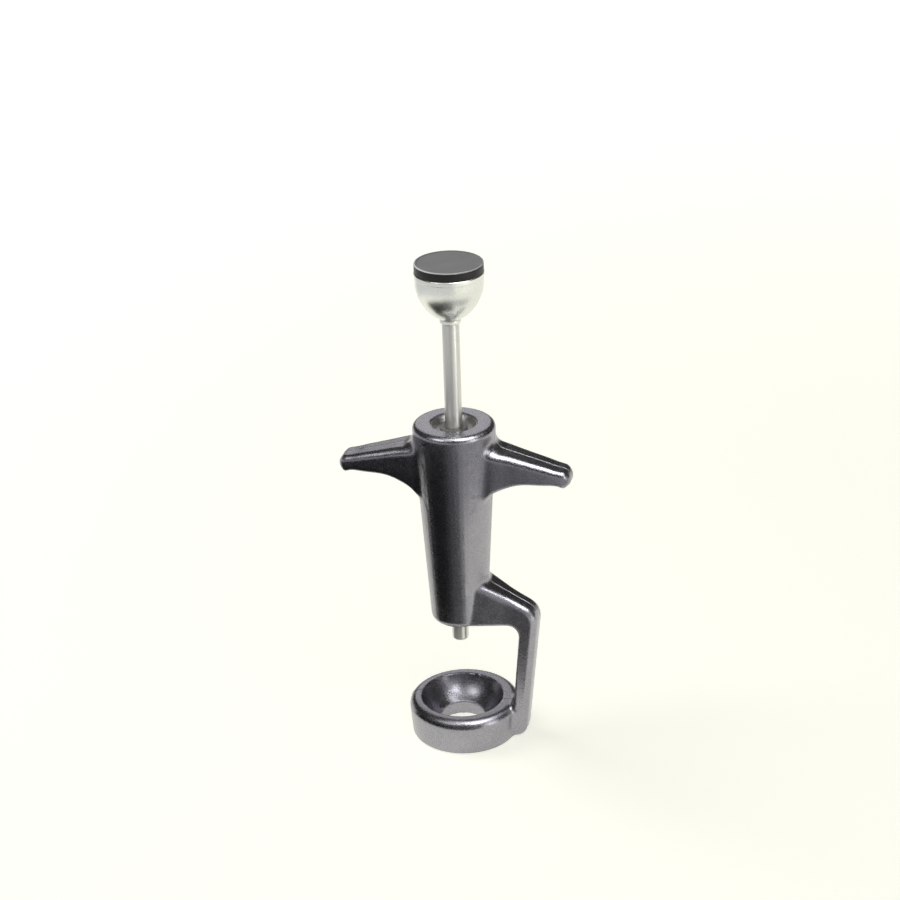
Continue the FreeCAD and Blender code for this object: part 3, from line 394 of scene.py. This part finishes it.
def turned_piece(name, corners, material, segments, closed=True):
    """a piece turned about the plunger's axis from an outline that runs with the metal on its left"""
    outline = rounded_outline(corners)
    mesh = bpy.data.meshes.new(name)
    shape = bmesh.new()
    rings = []
    for point in outline:
        if point.x < ON_AXIS:
            rings.append([shape.verts.new((0.0, 0.0, point.y))])
            continue
        ring = []
        for segment in range(segments):
            angle = 2 * math.pi * segment / segments
            ring.append(shape.verts.new((point.x * math.cos(angle), point.x * math.sin(angle), point.y)))
        rings.append(ring)
    pairs = list(zip(rings, rings[1:]))
    if closed:
        pairs.append((rings[-1], rings[0]))
    for lower, upper in pairs:
        for segment in range(segments):
            after = (segment + 1) % segments
            if len(lower) == 1 and len(upper) == 1:
                break
            if len(lower) == 1:
                shape.faces.new((lower[0], upper[after], upper[segment]))
            elif len(upper) == 1:
                shape.faces.new((lower[segment], lower[after], upper[0]))
            else:
                shape.faces.new((lower[segment], lower[after], upper[after], upper[segment]))
    bmesh.ops.remove_doubles(shape, verts=shape.verts[:], dist=MERGE_TURNED)
    bmesh.ops.recalc_face_normals(shape, faces=shape.faces[:])
    shape.to_mesh(mesh)
    shape.free()
    return finished(name, mesh, material)


def linked(name, data):
    """a new object in the scene"""
    made = bpy.data.objects.new(name, data)
    bpy.context.scene.collection.objects.link(made)
    return made


def finished(name, mesh, material):
    """an object for a final mesh, smooth but for its sharp edges"""
    mesh.materials.clear()
    mesh.materials.append(material)
    mesh.shade_smooth()
    mesh.set_sharp_from_angle(angle=SHARP_ANGLE)
    return linked(name, mesh)


def refinish(node, finish):
    """a finish on the mesh of a CAD node that stays as it is"""
    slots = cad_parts[node].data.materials
    slots.clear()
    slots.append(finish)


def merged_copy(node):
    """bmesh of a CAD node with its loose triangles joined"""
    shape = bmesh.new()
    shape.from_mesh(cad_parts[node].data)
    bmesh.ops.remove_doubles(shape, verts=shape.verts[:], dist=MERGE_CAD)
    return shape


def evaluated(piece):
    """plain mesh of an object with its modifiers applied"""
    graph = bpy.context.evaluated_depsgraph_get()
    mesh = bpy.data.meshes.new_from_object(piece.evaluated_get(graph))
    piece.modifiers.clear()
    return mesh


def discard(piece):
    """removes a helper object and its mesh"""
    mesh = piece.data
    bpy.data.objects.remove(piece)
    bpy.data.meshes.remove(mesh)


def place(piece, body, slot, *nodes):
    """a finished piece on its body, hiding the nodes that it stands for; the slot is not used"""
    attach(piece, body)
    if nodes:
        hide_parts(*nodes)


# Geometry Nodes

class Nodes:
    """one Geometry Nodes tree"""

    def __init__(self, name, inputs):
        self.tree = bpy.data.node_groups.new(name, "GeometryNodeTree")
        self.tree.interface.new_socket(name="Geometry", in_out="OUTPUT", socket_type="NodeSocketGeometry")
        self.tree.interface.new_socket(name="Geometry", in_out="INPUT", socket_type="NodeSocketGeometry")
        for label, (kind, value) in inputs.items():
            socket = self.tree.interface.new_socket(name=label, in_out="INPUT", socket_type=kind)
            if value is not None:
                socket.default_value = value
        self.entry = self.tree.nodes.new("NodeGroupInput")
        self.exit = self.tree.nodes.new("NodeGroupOutput")

    def given(self, label):
        """a named input of the tree"""
        return self.entry.outputs[label]

    def node(self, kind, settings=None, inputs=None, output=0):
        """any node: its settings first, then the values or links of its sockets"""
        made = self.tree.nodes.new(kind)
        for key, value in (settings or {}).items():
            if key == "points":
                for spot in value[1:-1]:
                    made.mapping.curves[0].points.new(*spot)
                for point, spot in zip(made.mapping.curves[0].points, value):
                    point.location = spot
                made.mapping.update()
            else:
                setattr(made, key, value)
        for key, value in (inputs or {}).items():
            if isinstance(value, bpy.types.NodeSocket):
                self.tree.links.new(value, made.inputs[key])
            else:
                made.inputs[key].default_value = value
        return made.outputs[output]

    def math(self, operation, first, second):
        """one Math node"""
        return self.node("ShaderNodeMath", {"operation": operation}, {0: first, 1: second})

    def close(self, geometry):
        """ends the tree in Realize Instances and Set Material"""
        real = self.node("GeometryNodeRealizeInstances", inputs={"Geometry": geometry})
        dressed = self.node("GeometryNodeSetMaterial",
                            inputs={"Geometry": real, "Material": self.given("Material")})
        self.tree.links.new(dressed, self.exit.inputs[0])

    def run(self, name, mesh, values):
        """plain mesh that the tree makes from a mesh and its named inputs"""
        holder = linked(name + "_source", mesh)
        modifier = holder.modifiers.new("shape", "NODES")
        modifier.node_group = self.tree
        labels = {item.name: item.identifier for item in self.tree.interface.items_tree
                  if item.in_out == "INPUT"}
        for label, value in values.items():
            modifier[labels[label]] = value
        made = evaluated(holder)
        discard(holder)
        return made


def coil_tree():
    """round wire wound about the axis, with closed turns at both ends"""
    tree = Nodes("coil", {
        "Radius": ("NodeSocketFloat", 0.005),
        "Wire": ("NodeSocketFloat", 0.001),
        "Foot": ("NodeSocketFloat", 0.0),
        "Head": ("NodeSocketFloat", 0.1),
        "Turns": ("NodeSocketFloat", 10.0),
        "Material": ("NodeSocketMaterial", None),
    })
    line = tree.node("GeometryNodeCurvePrimitiveLine")
    path = tree.node("GeometryNodeResampleCurve", inputs={"Curve": line, "Count": COIL_POINTS})
    along = tree.node("GeometryNodeSplineParameter", output="Factor")
    climb = tree.node("ShaderNodeFloatCurve", {"points": COIL_CLIMB}, {"Value": along})
    turn = tree.math("MULTIPLY", tree.math("MULTIPLY", along, tree.given("Turns")), 2 * math.pi)
    east = tree.math("MULTIPLY", tree.math("COSINE", turn, 0.0), tree.given("Radius"))
    north = tree.math("MULTIPLY", tree.math("SINE", turn, 0.0), tree.given("Radius"))
    half = tree.math("MULTIPLY", tree.given("Wire"), 0.5)
    low = tree.math("ADD", tree.given("Foot"), half)
    high = tree.math("SUBTRACT", tree.given("Head"), half)
    rise = tree.math("ADD", low, tree.math("MULTIPLY", climb, tree.math("SUBTRACT", high, low)))
    spot = tree.node("ShaderNodeCombineXYZ", inputs={"X": east, "Y": north, "Z": rise})
    wound = tree.node("GeometryNodeSetPosition", inputs={"Geometry": path, "Position": spot})
    round_wire = tree.node("GeometryNodeCurvePrimitiveCircle",
                           inputs={"Resolution": COIL_SIDES, "Radius": half})
    tube = tree.node("GeometryNodeCurveToMesh",
                     inputs={"Curve": wound, "Profile Curve": round_wire, "Fill Caps": True})
    tree.close(tube)
    return tree


def seam_tree():
    """a low bead along the edges of a mesh"""
    tree = Nodes("mould_seam", {
        "Width": ("NodeSocketFloat", 0.0004),
        "Spacing": ("NodeSocketFloat", 0.0005),
        "Material": ("NodeSocketMaterial", None),
    })
    path = tree.node("GeometryNodeMeshToCurve", inputs={"Mesh": tree.given("Geometry")})
    even = tree.node("GeometryNodeResampleCurve", {"mode": "LENGTH"},
                     {"Curve": path, "Length": tree.given("Spacing")})
    half = tree.math("MULTIPLY", tree.given("Width"), 0.5)
    bead = tree.node("GeometryNodeCurvePrimitiveCircle", inputs={"Resolution": SEAM_SIDES, "Radius": half})
    tube = tree.node("GeometryNodeCurveToMesh",
                     inputs={"Curve": even, "Profile Curve": bead, "Fill Caps": True})
    tree.close(tube)
    return tree


# Sizes and colours that a user would change

class StonerCasting(bpy.types.PropertyGroup):
    """coat, mesh and mould seam of the casting"""
    coat_colour: FloatVectorProperty(
        name="Coat", description="Colour of the coat on the casting", subtype="COLOR", size=4,
        min=0.0, max=1.0, default=(0.39, 0.381, 0.425, 1.0))
    coat_metallic: FloatProperty(
        name="Metal share", description="How metallic the coat looks", default=1.0, min=0.0, max=1.0)
    coat_roughness: FloatProperty(
        name="Roughness", description="Roughness of the coat", default=0.28, min=0.0, max=1.0)
    coat_grain: FloatProperty(
        name="Grain", description="Size of the sand grain", default=0.34 * MM, unit="LENGTH", precision=5)
    coat_relief: FloatProperty(
        name="Grain depth", description="Depth of the sand grain", default=0.03 * MM,
        unit="LENGTH", precision=6)
    mesh_size: FloatProperty(
        name="Mesh", description="Size of the casting's faces", default=0.43 * MM,
        unit="LENGTH", precision=5)
    # The seam's light colour is a painted highlight that makes the bead show as a bright line
    seam_highlight_colour: FloatVectorProperty(
        name="Seam colour", description="Colour of the rubbed mould seam", subtype="COLOR", size=4,
        min=0.0, max=1.0, default=(0.72, 0.72, 0.74, 1.0))
    seam_width: FloatProperty(
        name="Seam", description="Width of the mould seam", default=0.26 * MM, unit="LENGTH", precision=5)


class StonerPlunger(bpy.types.PropertyGroup):
    """steel of the rod, and how finely the turned pieces are made"""
    steel_colour: FloatVectorProperty(
        name="Steel", description="Colour of the rod", subtype="COLOR", size=4,
        min=0.0, max=1.0, default=(0.74, 0.735, 0.71, 1.0))
    steel_roughness: FloatProperty(
        name="Roughness", description="Roughness of the rod", default=0.34, min=0.0, max=1.0)
    segments: IntProperty(
        name="Segments", description="Faces round each turned piece", default=128, min=16)


class StonerKnob(bpy.types.PropertyGroup):
    """bowl, cover disc and the band under the bowl's rim"""
    bowl_colour: FloatVectorProperty(
        name="Bowl", description="Colour of the polished bowl", subtype="COLOR", size=4,
        min=0.0, max=1.0, default=(0.80, 0.81, 0.775, 1.0))
    bowl_roughness: FloatProperty(
        name="Roughness", description="Roughness of the bowl", default=0.23, min=0.0, max=1.0)
    # Colour of the painted highlight on the cover's lip, also painted in part over its whole top
    lip_highlight_colour: FloatVectorProperty(
        name="Lip", description="Colour of the cover's rubbed lip", subtype="COLOR", size=4,
        min=0.0, max=1.0, default=(0.85, 0.85, 0.87, 1.0))
    cap_colour: FloatVectorProperty(
        name="Cap", description="Colour of the cover disc", subtype="COLOR", size=4,
        min=0.0, max=1.0, default=(0.055, 0.054, 0.060, 1.0))
    bead_height: FloatProperty(
        name="Band", description="Height of the band under the bowl's rim", default=1.6 * MM,
        unit="LENGTH", precision=5)
    bead_depth: FloatProperty(
        name="Band step", description="How far the band stands out of the bowl", default=0.15 * MM,
        unit="LENGTH", precision=5)


class StonerStage(bpy.types.PropertyGroup):
    """floor and lens"""
    floor_colour: FloatVectorProperty(
        name="Floor", description="Colour of the floor", subtype="COLOR", size=4,
        min=0.0, max=1.0, default=(1.0, 1.0, 0.905, 1.0))
    lens: FloatProperty(
        name="Lens", description="Focal length of the camera", default=82.2, unit="CAMERA")


# Operators

class STONER_OT_casting(bpy.types.Operator):
    """Body casting: barrel, wings, neck, arm and cup in one skin, with its mould seam"""
    bl_idname = "stoner.casting"
    bl_label = "Casting"

    def execute(self, context):
        look = context.scene.stoner_casting
        shape = merged_copy("body_casting")
        mesh = bpy.data.meshes.new("cast_body")
        shape.to_mesh(mesh)
        skin = linked("cast_body_source", mesh)
        target = linked("cast_body_target", mesh.copy())
        remesh = skin.modifiers.new("skin", "REMESH")
        remesh.mode = "VOXEL"
        remesh.voxel_size = look.mesh_size
        remesh.adaptivity = 0.0
        wrap = skin.modifiers.new("wrap", "SHRINKWRAP")
        wrap.target = target
        wrap.wrap_method = "NEAREST_SURFACEPOINT"
        ease = skin.modifiers.new("ease", "SMOOTH")
        ease.factor = EASE_SHARE
        ease.iterations = EASE_ROUNDS
        piece = finished("cast_body", evaluated(skin), cast_coat(look))
        discard(skin)
        discard(target)
        place(piece, "frame", "cast_metal", "body_casting")
        seam = self.seam(shape, look)
        shape.free()
        place(seam, "frame", "cast_metal")
        return {"FINISHED"}

    def seam(self, shape, look):
        """bead where the two halves of the mould met, round the outside of the casting"""
        low, high = (Vector(corner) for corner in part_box("body_casting"))
        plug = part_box("barrel_plug")[1][0]
        over_cup = CUP_HEIGHT + SEAM_OFF_RIM
        cut = bmesh.ops.bisect_plane(
            shape, geom=shape.verts[:] + shape.edges[:] + shape.faces[:], dist=CUT_REACH,
            plane_co=(0.0, 0.0, 0.0), plane_no=(0.0, 1.0, 0.0))
        line = bmesh.new()
        spots = {}
        for item in cut["geom_cut"]:
            if not isinstance(item, bmesh.types.BMEdge):
                continue
            middle = (item.verts[0].co + item.verts[1].co) / 2
            out = abs(middle.x)
            inside_barrel = out < plug + SEAM_OFF_BORE and middle.z > over_cup
            inside_cup = out < BOWL_MOUTH and middle.z < over_cup
            end_face = not low.z + SEAM_OFF_FOOT <= middle.z <= high.z - SEAM_OFF_MOUTH
            wing_tip = out > high.x - SEAM_OFF_TIP
            if inside_barrel or inside_cup or end_face or wing_tip:
                continue
            ends = []
            for vert in item.verts:
                if vert.index not in spots:
                    spots[vert.index] = line.verts.new(vert.co)
                ends.append(spots[vert.index])
            if ends[0] is not ends[1] and not line.edges.get(ends):
                line.edges.new(ends)
        mesh = bpy.data.meshes.new("mould_seam")
        bmesh.ops.remove_doubles(line, verts=line.verts[:], dist=MERGE_SEAM)
        line.to_mesh(mesh)
        line.free()
        # Painted highlight: the seam's light colour makes the bead show as a bright line
        painted_highlight = drawn_steel("seam_painted_highlight", look.seam_highlight_colour, SEAM_ROUGHNESS)
        made = seam_tree().run("mould_seam", mesh, {"Width": look.seam_width, "Material": painted_highlight})
        return finished("mould_seam", made, painted_highlight)


class STONER_OT_guides(bpy.types.Operator):
    """Plug and guide bushes in the barrel"""
    bl_idname = "stoner.guides"
    bl_label = "Plug and bushes"

    def execute(self, context):
        segments = context.scene.stoner_plunger.segments
        metal = turned_metal("plug_metal", *PLUG_METAL)
        nylon = moulded("bush_nylon", *BUSH_NYLON)
        low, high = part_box("barrel_plug")
        bush_low, bush_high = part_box("upper_guide_bush")
        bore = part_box("plunger_rod")[1][0] + ROD_PLAY
        floor = bush_high[2] - PLUG_FLOOR
        edge = high[0]
        plug = turned_piece("barrel_plug_turned", [
            (BUSH_RADIUS, low[2], 0.0),
            (edge, low[2], 0.2 * MM),
            (edge, high[2], 0.15 * MM),
            (edge - PLUG_RIM, high[2], 0.15 * MM),
            (edge - PLUG_DISH, floor, 0.5 * MM),
            (BUSH_RADIUS, floor, 0.0),
        ], metal, segments)
        place(plug, "frame", "plug_metal", "barrel_plug")
        collar = turned_piece("upper_bush_turned", [
            (bore, bush_low[2], 0.0),
            (BUSH_RADIUS - FIT, bush_low[2], 0.0),
            (BUSH_RADIUS - FIT, floor, 0.0),
            (bush_high[0], floor, 0.0),
            (bush_high[0], bush_high[2], 0.2 * MM),
            (bore, bush_high[2], 0.12 * MM),
        ], nylon, segments)
        place(collar, "frame", "bush_plastic", "upper_guide_bush")
        refinish("lower_guide_bush", nylon)
        return {"FINISHED"}


class STONER_OT_spring(bpy.types.Operator):
    """Return spring and the small pieces round it"""
    bl_idname = "stoner.spring"
    bl_label = "Spring"

    def execute(self, context):
        wire_steel = drawn_steel("spring_wire", *SPRING_WIRE)
        plain_steel = drawn_steel("washer_steel", *WASHER_STEEL, grain=0.9 * MM)
        rubber = moulded("stop_rubber", *STOP_RUBBER, relief=0.02 * MM)
        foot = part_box("lower_spring_washer")[1][2]
        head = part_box("upper_spring_washer")[0][2]
        made = coil_tree().run("return_coil", bpy.data.meshes.new("coil_seed"), {
            "Radius": COIL_RADIUS, "Wire": COIL_WIRE, "Foot": foot, "Head": head, "Turns": COIL_TURNS,
            "Material": wire_steel})
        coil = finished("return_coil", made, wire_steel)
        place(coil, "frame", "spring_steel", "return_spring")
        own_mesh(coil)
        for node, finish in (("lower_spring_washer", plain_steel), ("upper_spring_washer", plain_steel),
                             ("retaining_clip", wire_steel), ("bumper_ring", rubber),
                             ("knob_lock_washer", wire_steel), ("knob_nut", plain_steel)):
            refinish(node, finish)
        return {"FINISHED"}


class STONER_OT_rod(bpy.types.Operator):
    """Plunger rod with its punch end"""
    bl_idname = "stoner.rod"
    bl_label = "Rod"

    def execute(self, context):
        look = context.scene.stoner_plunger
        steel = drawn_steel("rod_steel", look.steel_colour, look.steel_roughness, spread=0.7)
        low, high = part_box("plunger_rod")
        radius = high[0]
        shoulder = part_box("knob_collar")[0][2]
        clip_low, clip_high = (corner[2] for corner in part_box("retaining_clip"))
        groove = radius - CLIP_GROOVE
        rod = turned_piece("plunger_rod_turned", [
            (0.0, low[2], 0.0),
            (radius, low[2], 0.8 * MM),
            (radius, clip_low - FIT, 0.0),
            (groove, clip_low - FIT, 0.0),
            (groove, clip_high + FIT, 0.0),
            (radius, clip_high + FIT, 0.0),
            (radius, shoulder, 0.15 * MM),
            (STUD_RADIUS, shoulder, 0.0),
            (STUD_RADIUS, high[2], 0.35 * MM),
            (0.0, high[2], 0.0),
        ], steel, look.segments, closed=False)
        place(rod, "plunger", "steel", "plunger_rod")
        return {"FINISHED"}


class STONER_OT_knob(bpy.types.Operator):
    """Push knob: collar, polished bowl and cover disc"""
    bl_idname = "stoner.knob"
    bl_label = "Knob"

    def execute(self, context):
        look = context.scene.stoner_knob
        segments = context.scene.stoner_plunger.segments
        chrome = polished("bowl_chrome", look.bowl_colour, look.bowl_roughness)
        collar_low, collar_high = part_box("knob_collar")
        bowl_low, bowl_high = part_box("knob_bowl")
        cap_low, cap_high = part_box("knob_cap")
        stud = STUD_RADIUS + FIT
        collar = turned_piece("knob_collar_turned", [
            (stud, collar_low[2], 0.0),
            (collar_high[0], collar_low[2], 0.35 * MM),
            (collar_high[0], collar_high[2], 0.2 * MM),
            (stud, collar_high[2], 0.0),
        ], chrome, segments)
        place(collar, "plunger", "polished_metal", "knob_collar")

        radius = bowl_high[0]
        rim = bowl_high[2]
        foot = collar_high[0]
        seat = bowl_low[2]
        under_band = radius - look.bead_depth
        middle = under_band - BOWL_SIDE
        centre = seat + math.sqrt(BOWL_SIDE ** 2 - (foot - middle) ** 2)
        floor = seat + BOWL_FLOOR
        band = rim - look.bead_height
        outer = self.side_curve(middle, centre, BOWL_SIDE, seat - centre, 0.0)
        outer += [
            (under_band, band - look.bead_depth, 0.14 * MM),
            (radius, band, 0.12 * MM),
            (radius, rim, 0.40 * MM),
        ]
        hollow = under_band - BOWL_WALL
        inner = [(hollow, rim, 0.2 * MM)]
        inner += self.side_curve(middle, centre, BOWL_SIDE - BOWL_WALL, 0.0, floor - centre)
        outline = [(stud, seat, 0.0)] + outer + inner + [(stud, floor, 0.0)]
        bowl = turned_piece("knob_bowl_turned", outline, chrome, segments)
        place(bowl, "plunger", "polished_metal", "knob_bowl")

        # Painted highlight on the cap's lip, with a painted lighter top and a painted darker side
        lip = (cap_high[0] - LIP_HIGHLIGHT_INSET, cap_high[2] - LIP_HIGHLIGHT_INSET, look.lip_highlight_colour)
        plastic = moulded("cap_plastic", look.cap_colour, CAP_ROUGHNESS, shine=CAP_SHINE, lip=lip)
        skirt = hollow - FIT
        sunk = cap_high[2] - CAP_SINK
        cap = turned_piece("knob_cap_turned", [
            (0.0, rim, 0.0),
            (skirt - CAP_SKIRT, rim, 0.3 * MM),
            (skirt - CAP_SKIRT, cap_low[2], 0.3 * MM),
            (skirt, cap_low[2], 0.3 * MM),
            (skirt, rim, 0.0),
            (CAP_RADIUS, rim, 0.2 * MM),
            (CAP_RADIUS, cap_high[2], 0.42 * MM),
            (CAP_RADIUS - CAP_RIM, cap_high[2], 0.25 * MM),
            (CAP_RADIUS - CAP_RIM_FOOT, sunk, 0.25 * MM),
            (0.0, sunk, 0.0),
        ], plastic, segments, closed=False)
        place(cap, "plunger", "cap_plastic", "knob_cap")
        return {"FINISHED"}

    def side_curve(self, middle, centre, reach, start, end):
        """outline points of the bowl's side, from one height to another, both from its centre"""
        points = []
        low, high = (math.asin(height / reach) for height in (start, end))
        for step in range(SIDE_STEPS + 1):
            angle = low + (high - low) * step / SIDE_STEPS
            points.append((middle + reach * math.cos(angle), centre + reach * math.sin(angle), 0.0))
        return points


class STONER_OT_stage(bpy.types.Operator):
    """Floor, soft light and camera"""
    bl_idname = "stoner.stage"
    bl_label = "Stage"

    def execute(self, context):
        look = context.scene.stoner_stage
        self.floor(look)
        self.world(look)
        for card in CARDS:
            self.card(*card)
        for lamp in SOFTBOXES:
            self.softbox(*lamp)
        self.camera(look)
        context.scene.view_settings.view_transform = "Standard"
        return {"FINISHED"}

    def floor(self, look):
        """pale floor that keeps the shadow and shows pale to the camera and in metal"""
        corners = [(x * FLOOR_REACH, y * FLOOR_REACH, 0) for x, y in ((-1, -1), (1, -1), (1, 1), (-1, 1))]
        mesh = bpy.data.meshes.new("floor")
        mesh.from_pydata(corners, [], [(0, 1, 2, 3)])
        floor = linked("floor", mesh)
        made = Finish("floor_paper", roughness=0.9, specular_ior_level=0.0,
                      base_color=shade(look.floor_colour, FLOOR_TONE))
        far = made.sharpen(made.radius(), FLOOR_NEAR, FLOOR_FAR)
        dim, plain = shade(look.floor_colour, FLOOR_DIM), shade(look.floor_colour, 1.0)
        made.feed("Emission Color", made.tint(far, dim, plain))
        to_camera, in_metal, in_glass = (made.node("ShaderNodeLightPath", output=ray) for ray in (
            "Is Camera Ray", "Is Glossy Ray", "Is Transmission Ray"))
        made.feed("Emission Strength", FLOOR_GLOW * (to_camera + in_metal + in_glass))
        mesh.materials.append(made.material)

    def world(self, look):
        """pale surroundings for the camera, which light the tool only faintly"""
        world = bpy.data.worlds.new("studio")
        bpy.context.scene.world = world
        world.use_nodes = True
        tree = world.node_tree
        sky = tree.nodes["Background"]
        sky.inputs["Color"].default_value = tuple(look.floor_colour)
        path = tree.nodes.new("ShaderNodeLightPath")
        level = tree.nodes.new("ShaderNodeMapRange")
        level.inputs["To Min"].default_value = WORLD_LEVEL
        level.inputs["To Max"].default_value = 1.0
        tree.links.new(path.outputs["Is Camera Ray"], level.inputs["Value"])
        tree.links.new(level.outputs["Result"], sky.inputs["Strength"])

    def card(self, name, level, outline):
        """curved card that glows an even grey, seen only in bright metal

        Its outline is (radius, height, start, end), the last two as turns from the camera.
        """
        spots = []
        for step in range(CARD_STEPS + 1):
            for radius, height, start, end in outline:
                way = CAMERA_AZIMUTH + math.radians(start + (end - start) * step / CARD_STEPS)
                spots.append((radius * math.cos(way), radius * math.sin(way), height))
        row = len(outline)
        faces = []
        for step in range(CARD_STEPS):
            for spot in range(row * step, row * step + row - 1):
                faces.append((spot, spot + 1, spot + row + 1, spot + row))
        mesh = bpy.data.meshes.new(name)
        mesh.from_pydata(spots, [], faces)
        card = linked(name, mesh)
        # The card is no lamp but glows: its grey is emission on a black base, not a lit colour
        card_glow = Finish(name + "_felt", roughness=1.0, specular_ior_level=0.0, base_color=(0.0, 0.0, 0.0, 1.0),
                      emission_color=(level, level, level, 1.0), emission_strength=1.0)
        mesh.materials.append(card_glow.material)
        card.visible_camera = False
        card.visible_diffuse = False
        card.visible_shadow = False
        card.visible_transmission = False

    def softbox(self, name, turn, rise, distance, width, height, level, in_metal):
        """area lamp aimed at the middle of the tool: turn is from the camera to its right

        A lamp in_metal is one that shines in bright metal; the others light the plain surfaces.
        """
        lamp = bpy.data.lights.new(name, "AREA")
        lamp.shape = "RECTANGLE"
        lamp.size = width
        lamp.size_y = height
        lamp.energy = level * math.pi * width * height
        lamp.color = LAMP_COLOUR
        holder = linked(name, lamp)
        holder.visible_glossy = in_metal
        holder.visible_diffuse = not in_metal
        way = CAMERA_AZIMUTH + math.radians(turn)
        along = math.cos(math.radians(rise))
        course = Vector((math.cos(way) * along, math.sin(way) * along, math.sin(math.radians(rise))))
        facing = course.to_track_quat("Z", "Y").to_matrix().to_4x4()
        holder.matrix_world = Matrix.Translation(Vector(AIM) + course * distance) @ facing

    def camera(self, look):
        """camera as it stood for the photograph"""
        lens = bpy.data.cameras.new("camera")
        lens.sensor_width = SENSOR_WIDTH
        lens.lens = look.lens
        holder = linked("camera", lens)
        pitch = math.radians(CAMERA_PITCH)
        roll = math.radians(CAMERA_ROLL)
        forward = Vector((0.0, math.cos(pitch), -math.sin(pitch)))
        level_right = Vector((1.0, 0.0, 0.0))
        level_up = Vector((0.0, math.sin(pitch), math.cos(pitch)))
        right = math.cos(roll) * level_right - math.sin(roll) * level_up
        up = math.sin(roll) * level_right + math.cos(roll) * level_up
        offset = Vector(CAMERA_OFFSET) * MM
        spot = -offset.x * right - offset.y * up - offset.z * forward
        turn = Matrix.Rotation(math.radians(CAMERA_TURN), 3, "Z")
        axes = Matrix((turn @ right, turn @ up, turn @ -forward)).transposed()
        holder.matrix_world = Matrix.Translation(turn @ spot) @ axes.to_4x4()
        bpy.context.scene.camera = holder


GROUPS = {
    "stoner_casting": StonerCasting,
    "stoner_plunger": StonerPlunger,
    "stoner_knob": StonerKnob,
    "stoner_stage": StonerStage,
}
OPERATORS = (
    STONER_OT_casting,
    STONER_OT_guides,
    STONER_OT_spring,
    STONER_OT_rod,
    STONER_OT_knob,
    STONER_OT_stage,
)


class STONER_PT_pieces(bpy.types.Panel):
    """Sizes, colours and operators of the fruit stoner"""
    bl_idname = "STONER_PT_pieces"
    bl_label = "Fruit stoner"
    bl_space_type = "VIEW_3D"
    bl_region_type = "UI"
    bl_category = "Stoner"

    def draw(self, context):
        for name, group in GROUPS.items():
            box = self.layout.box()
            for key in group.__annotations__:
                box.prop(getattr(context.scene, name), key)
        for operator in OPERATORS:
            self.layout.operator(operator.bl_idname)


CLASSES = tuple(GROUPS.values()) + OPERATORS + (STONER_PT_pieces,)


def register():
    for item in CLASSES:
        bpy.utils.register_class(item)
    for name, group in GROUPS.items():
        setattr(bpy.types.Scene, name, PointerProperty(type=group))


def unregister():
    for name in GROUPS:
        delattr(bpy.types.Scene, name)
    for item in reversed(CLASSES):
        bpy.utils.unregister_class(item)


def main():
    """registers the add-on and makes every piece"""
    register()
    for operator in OPERATORS:
        family, name = operator.bl_idname.split(".")
        getattr(getattr(bpy.ops, family), name)()


if __name__ == "__main__":
    main()
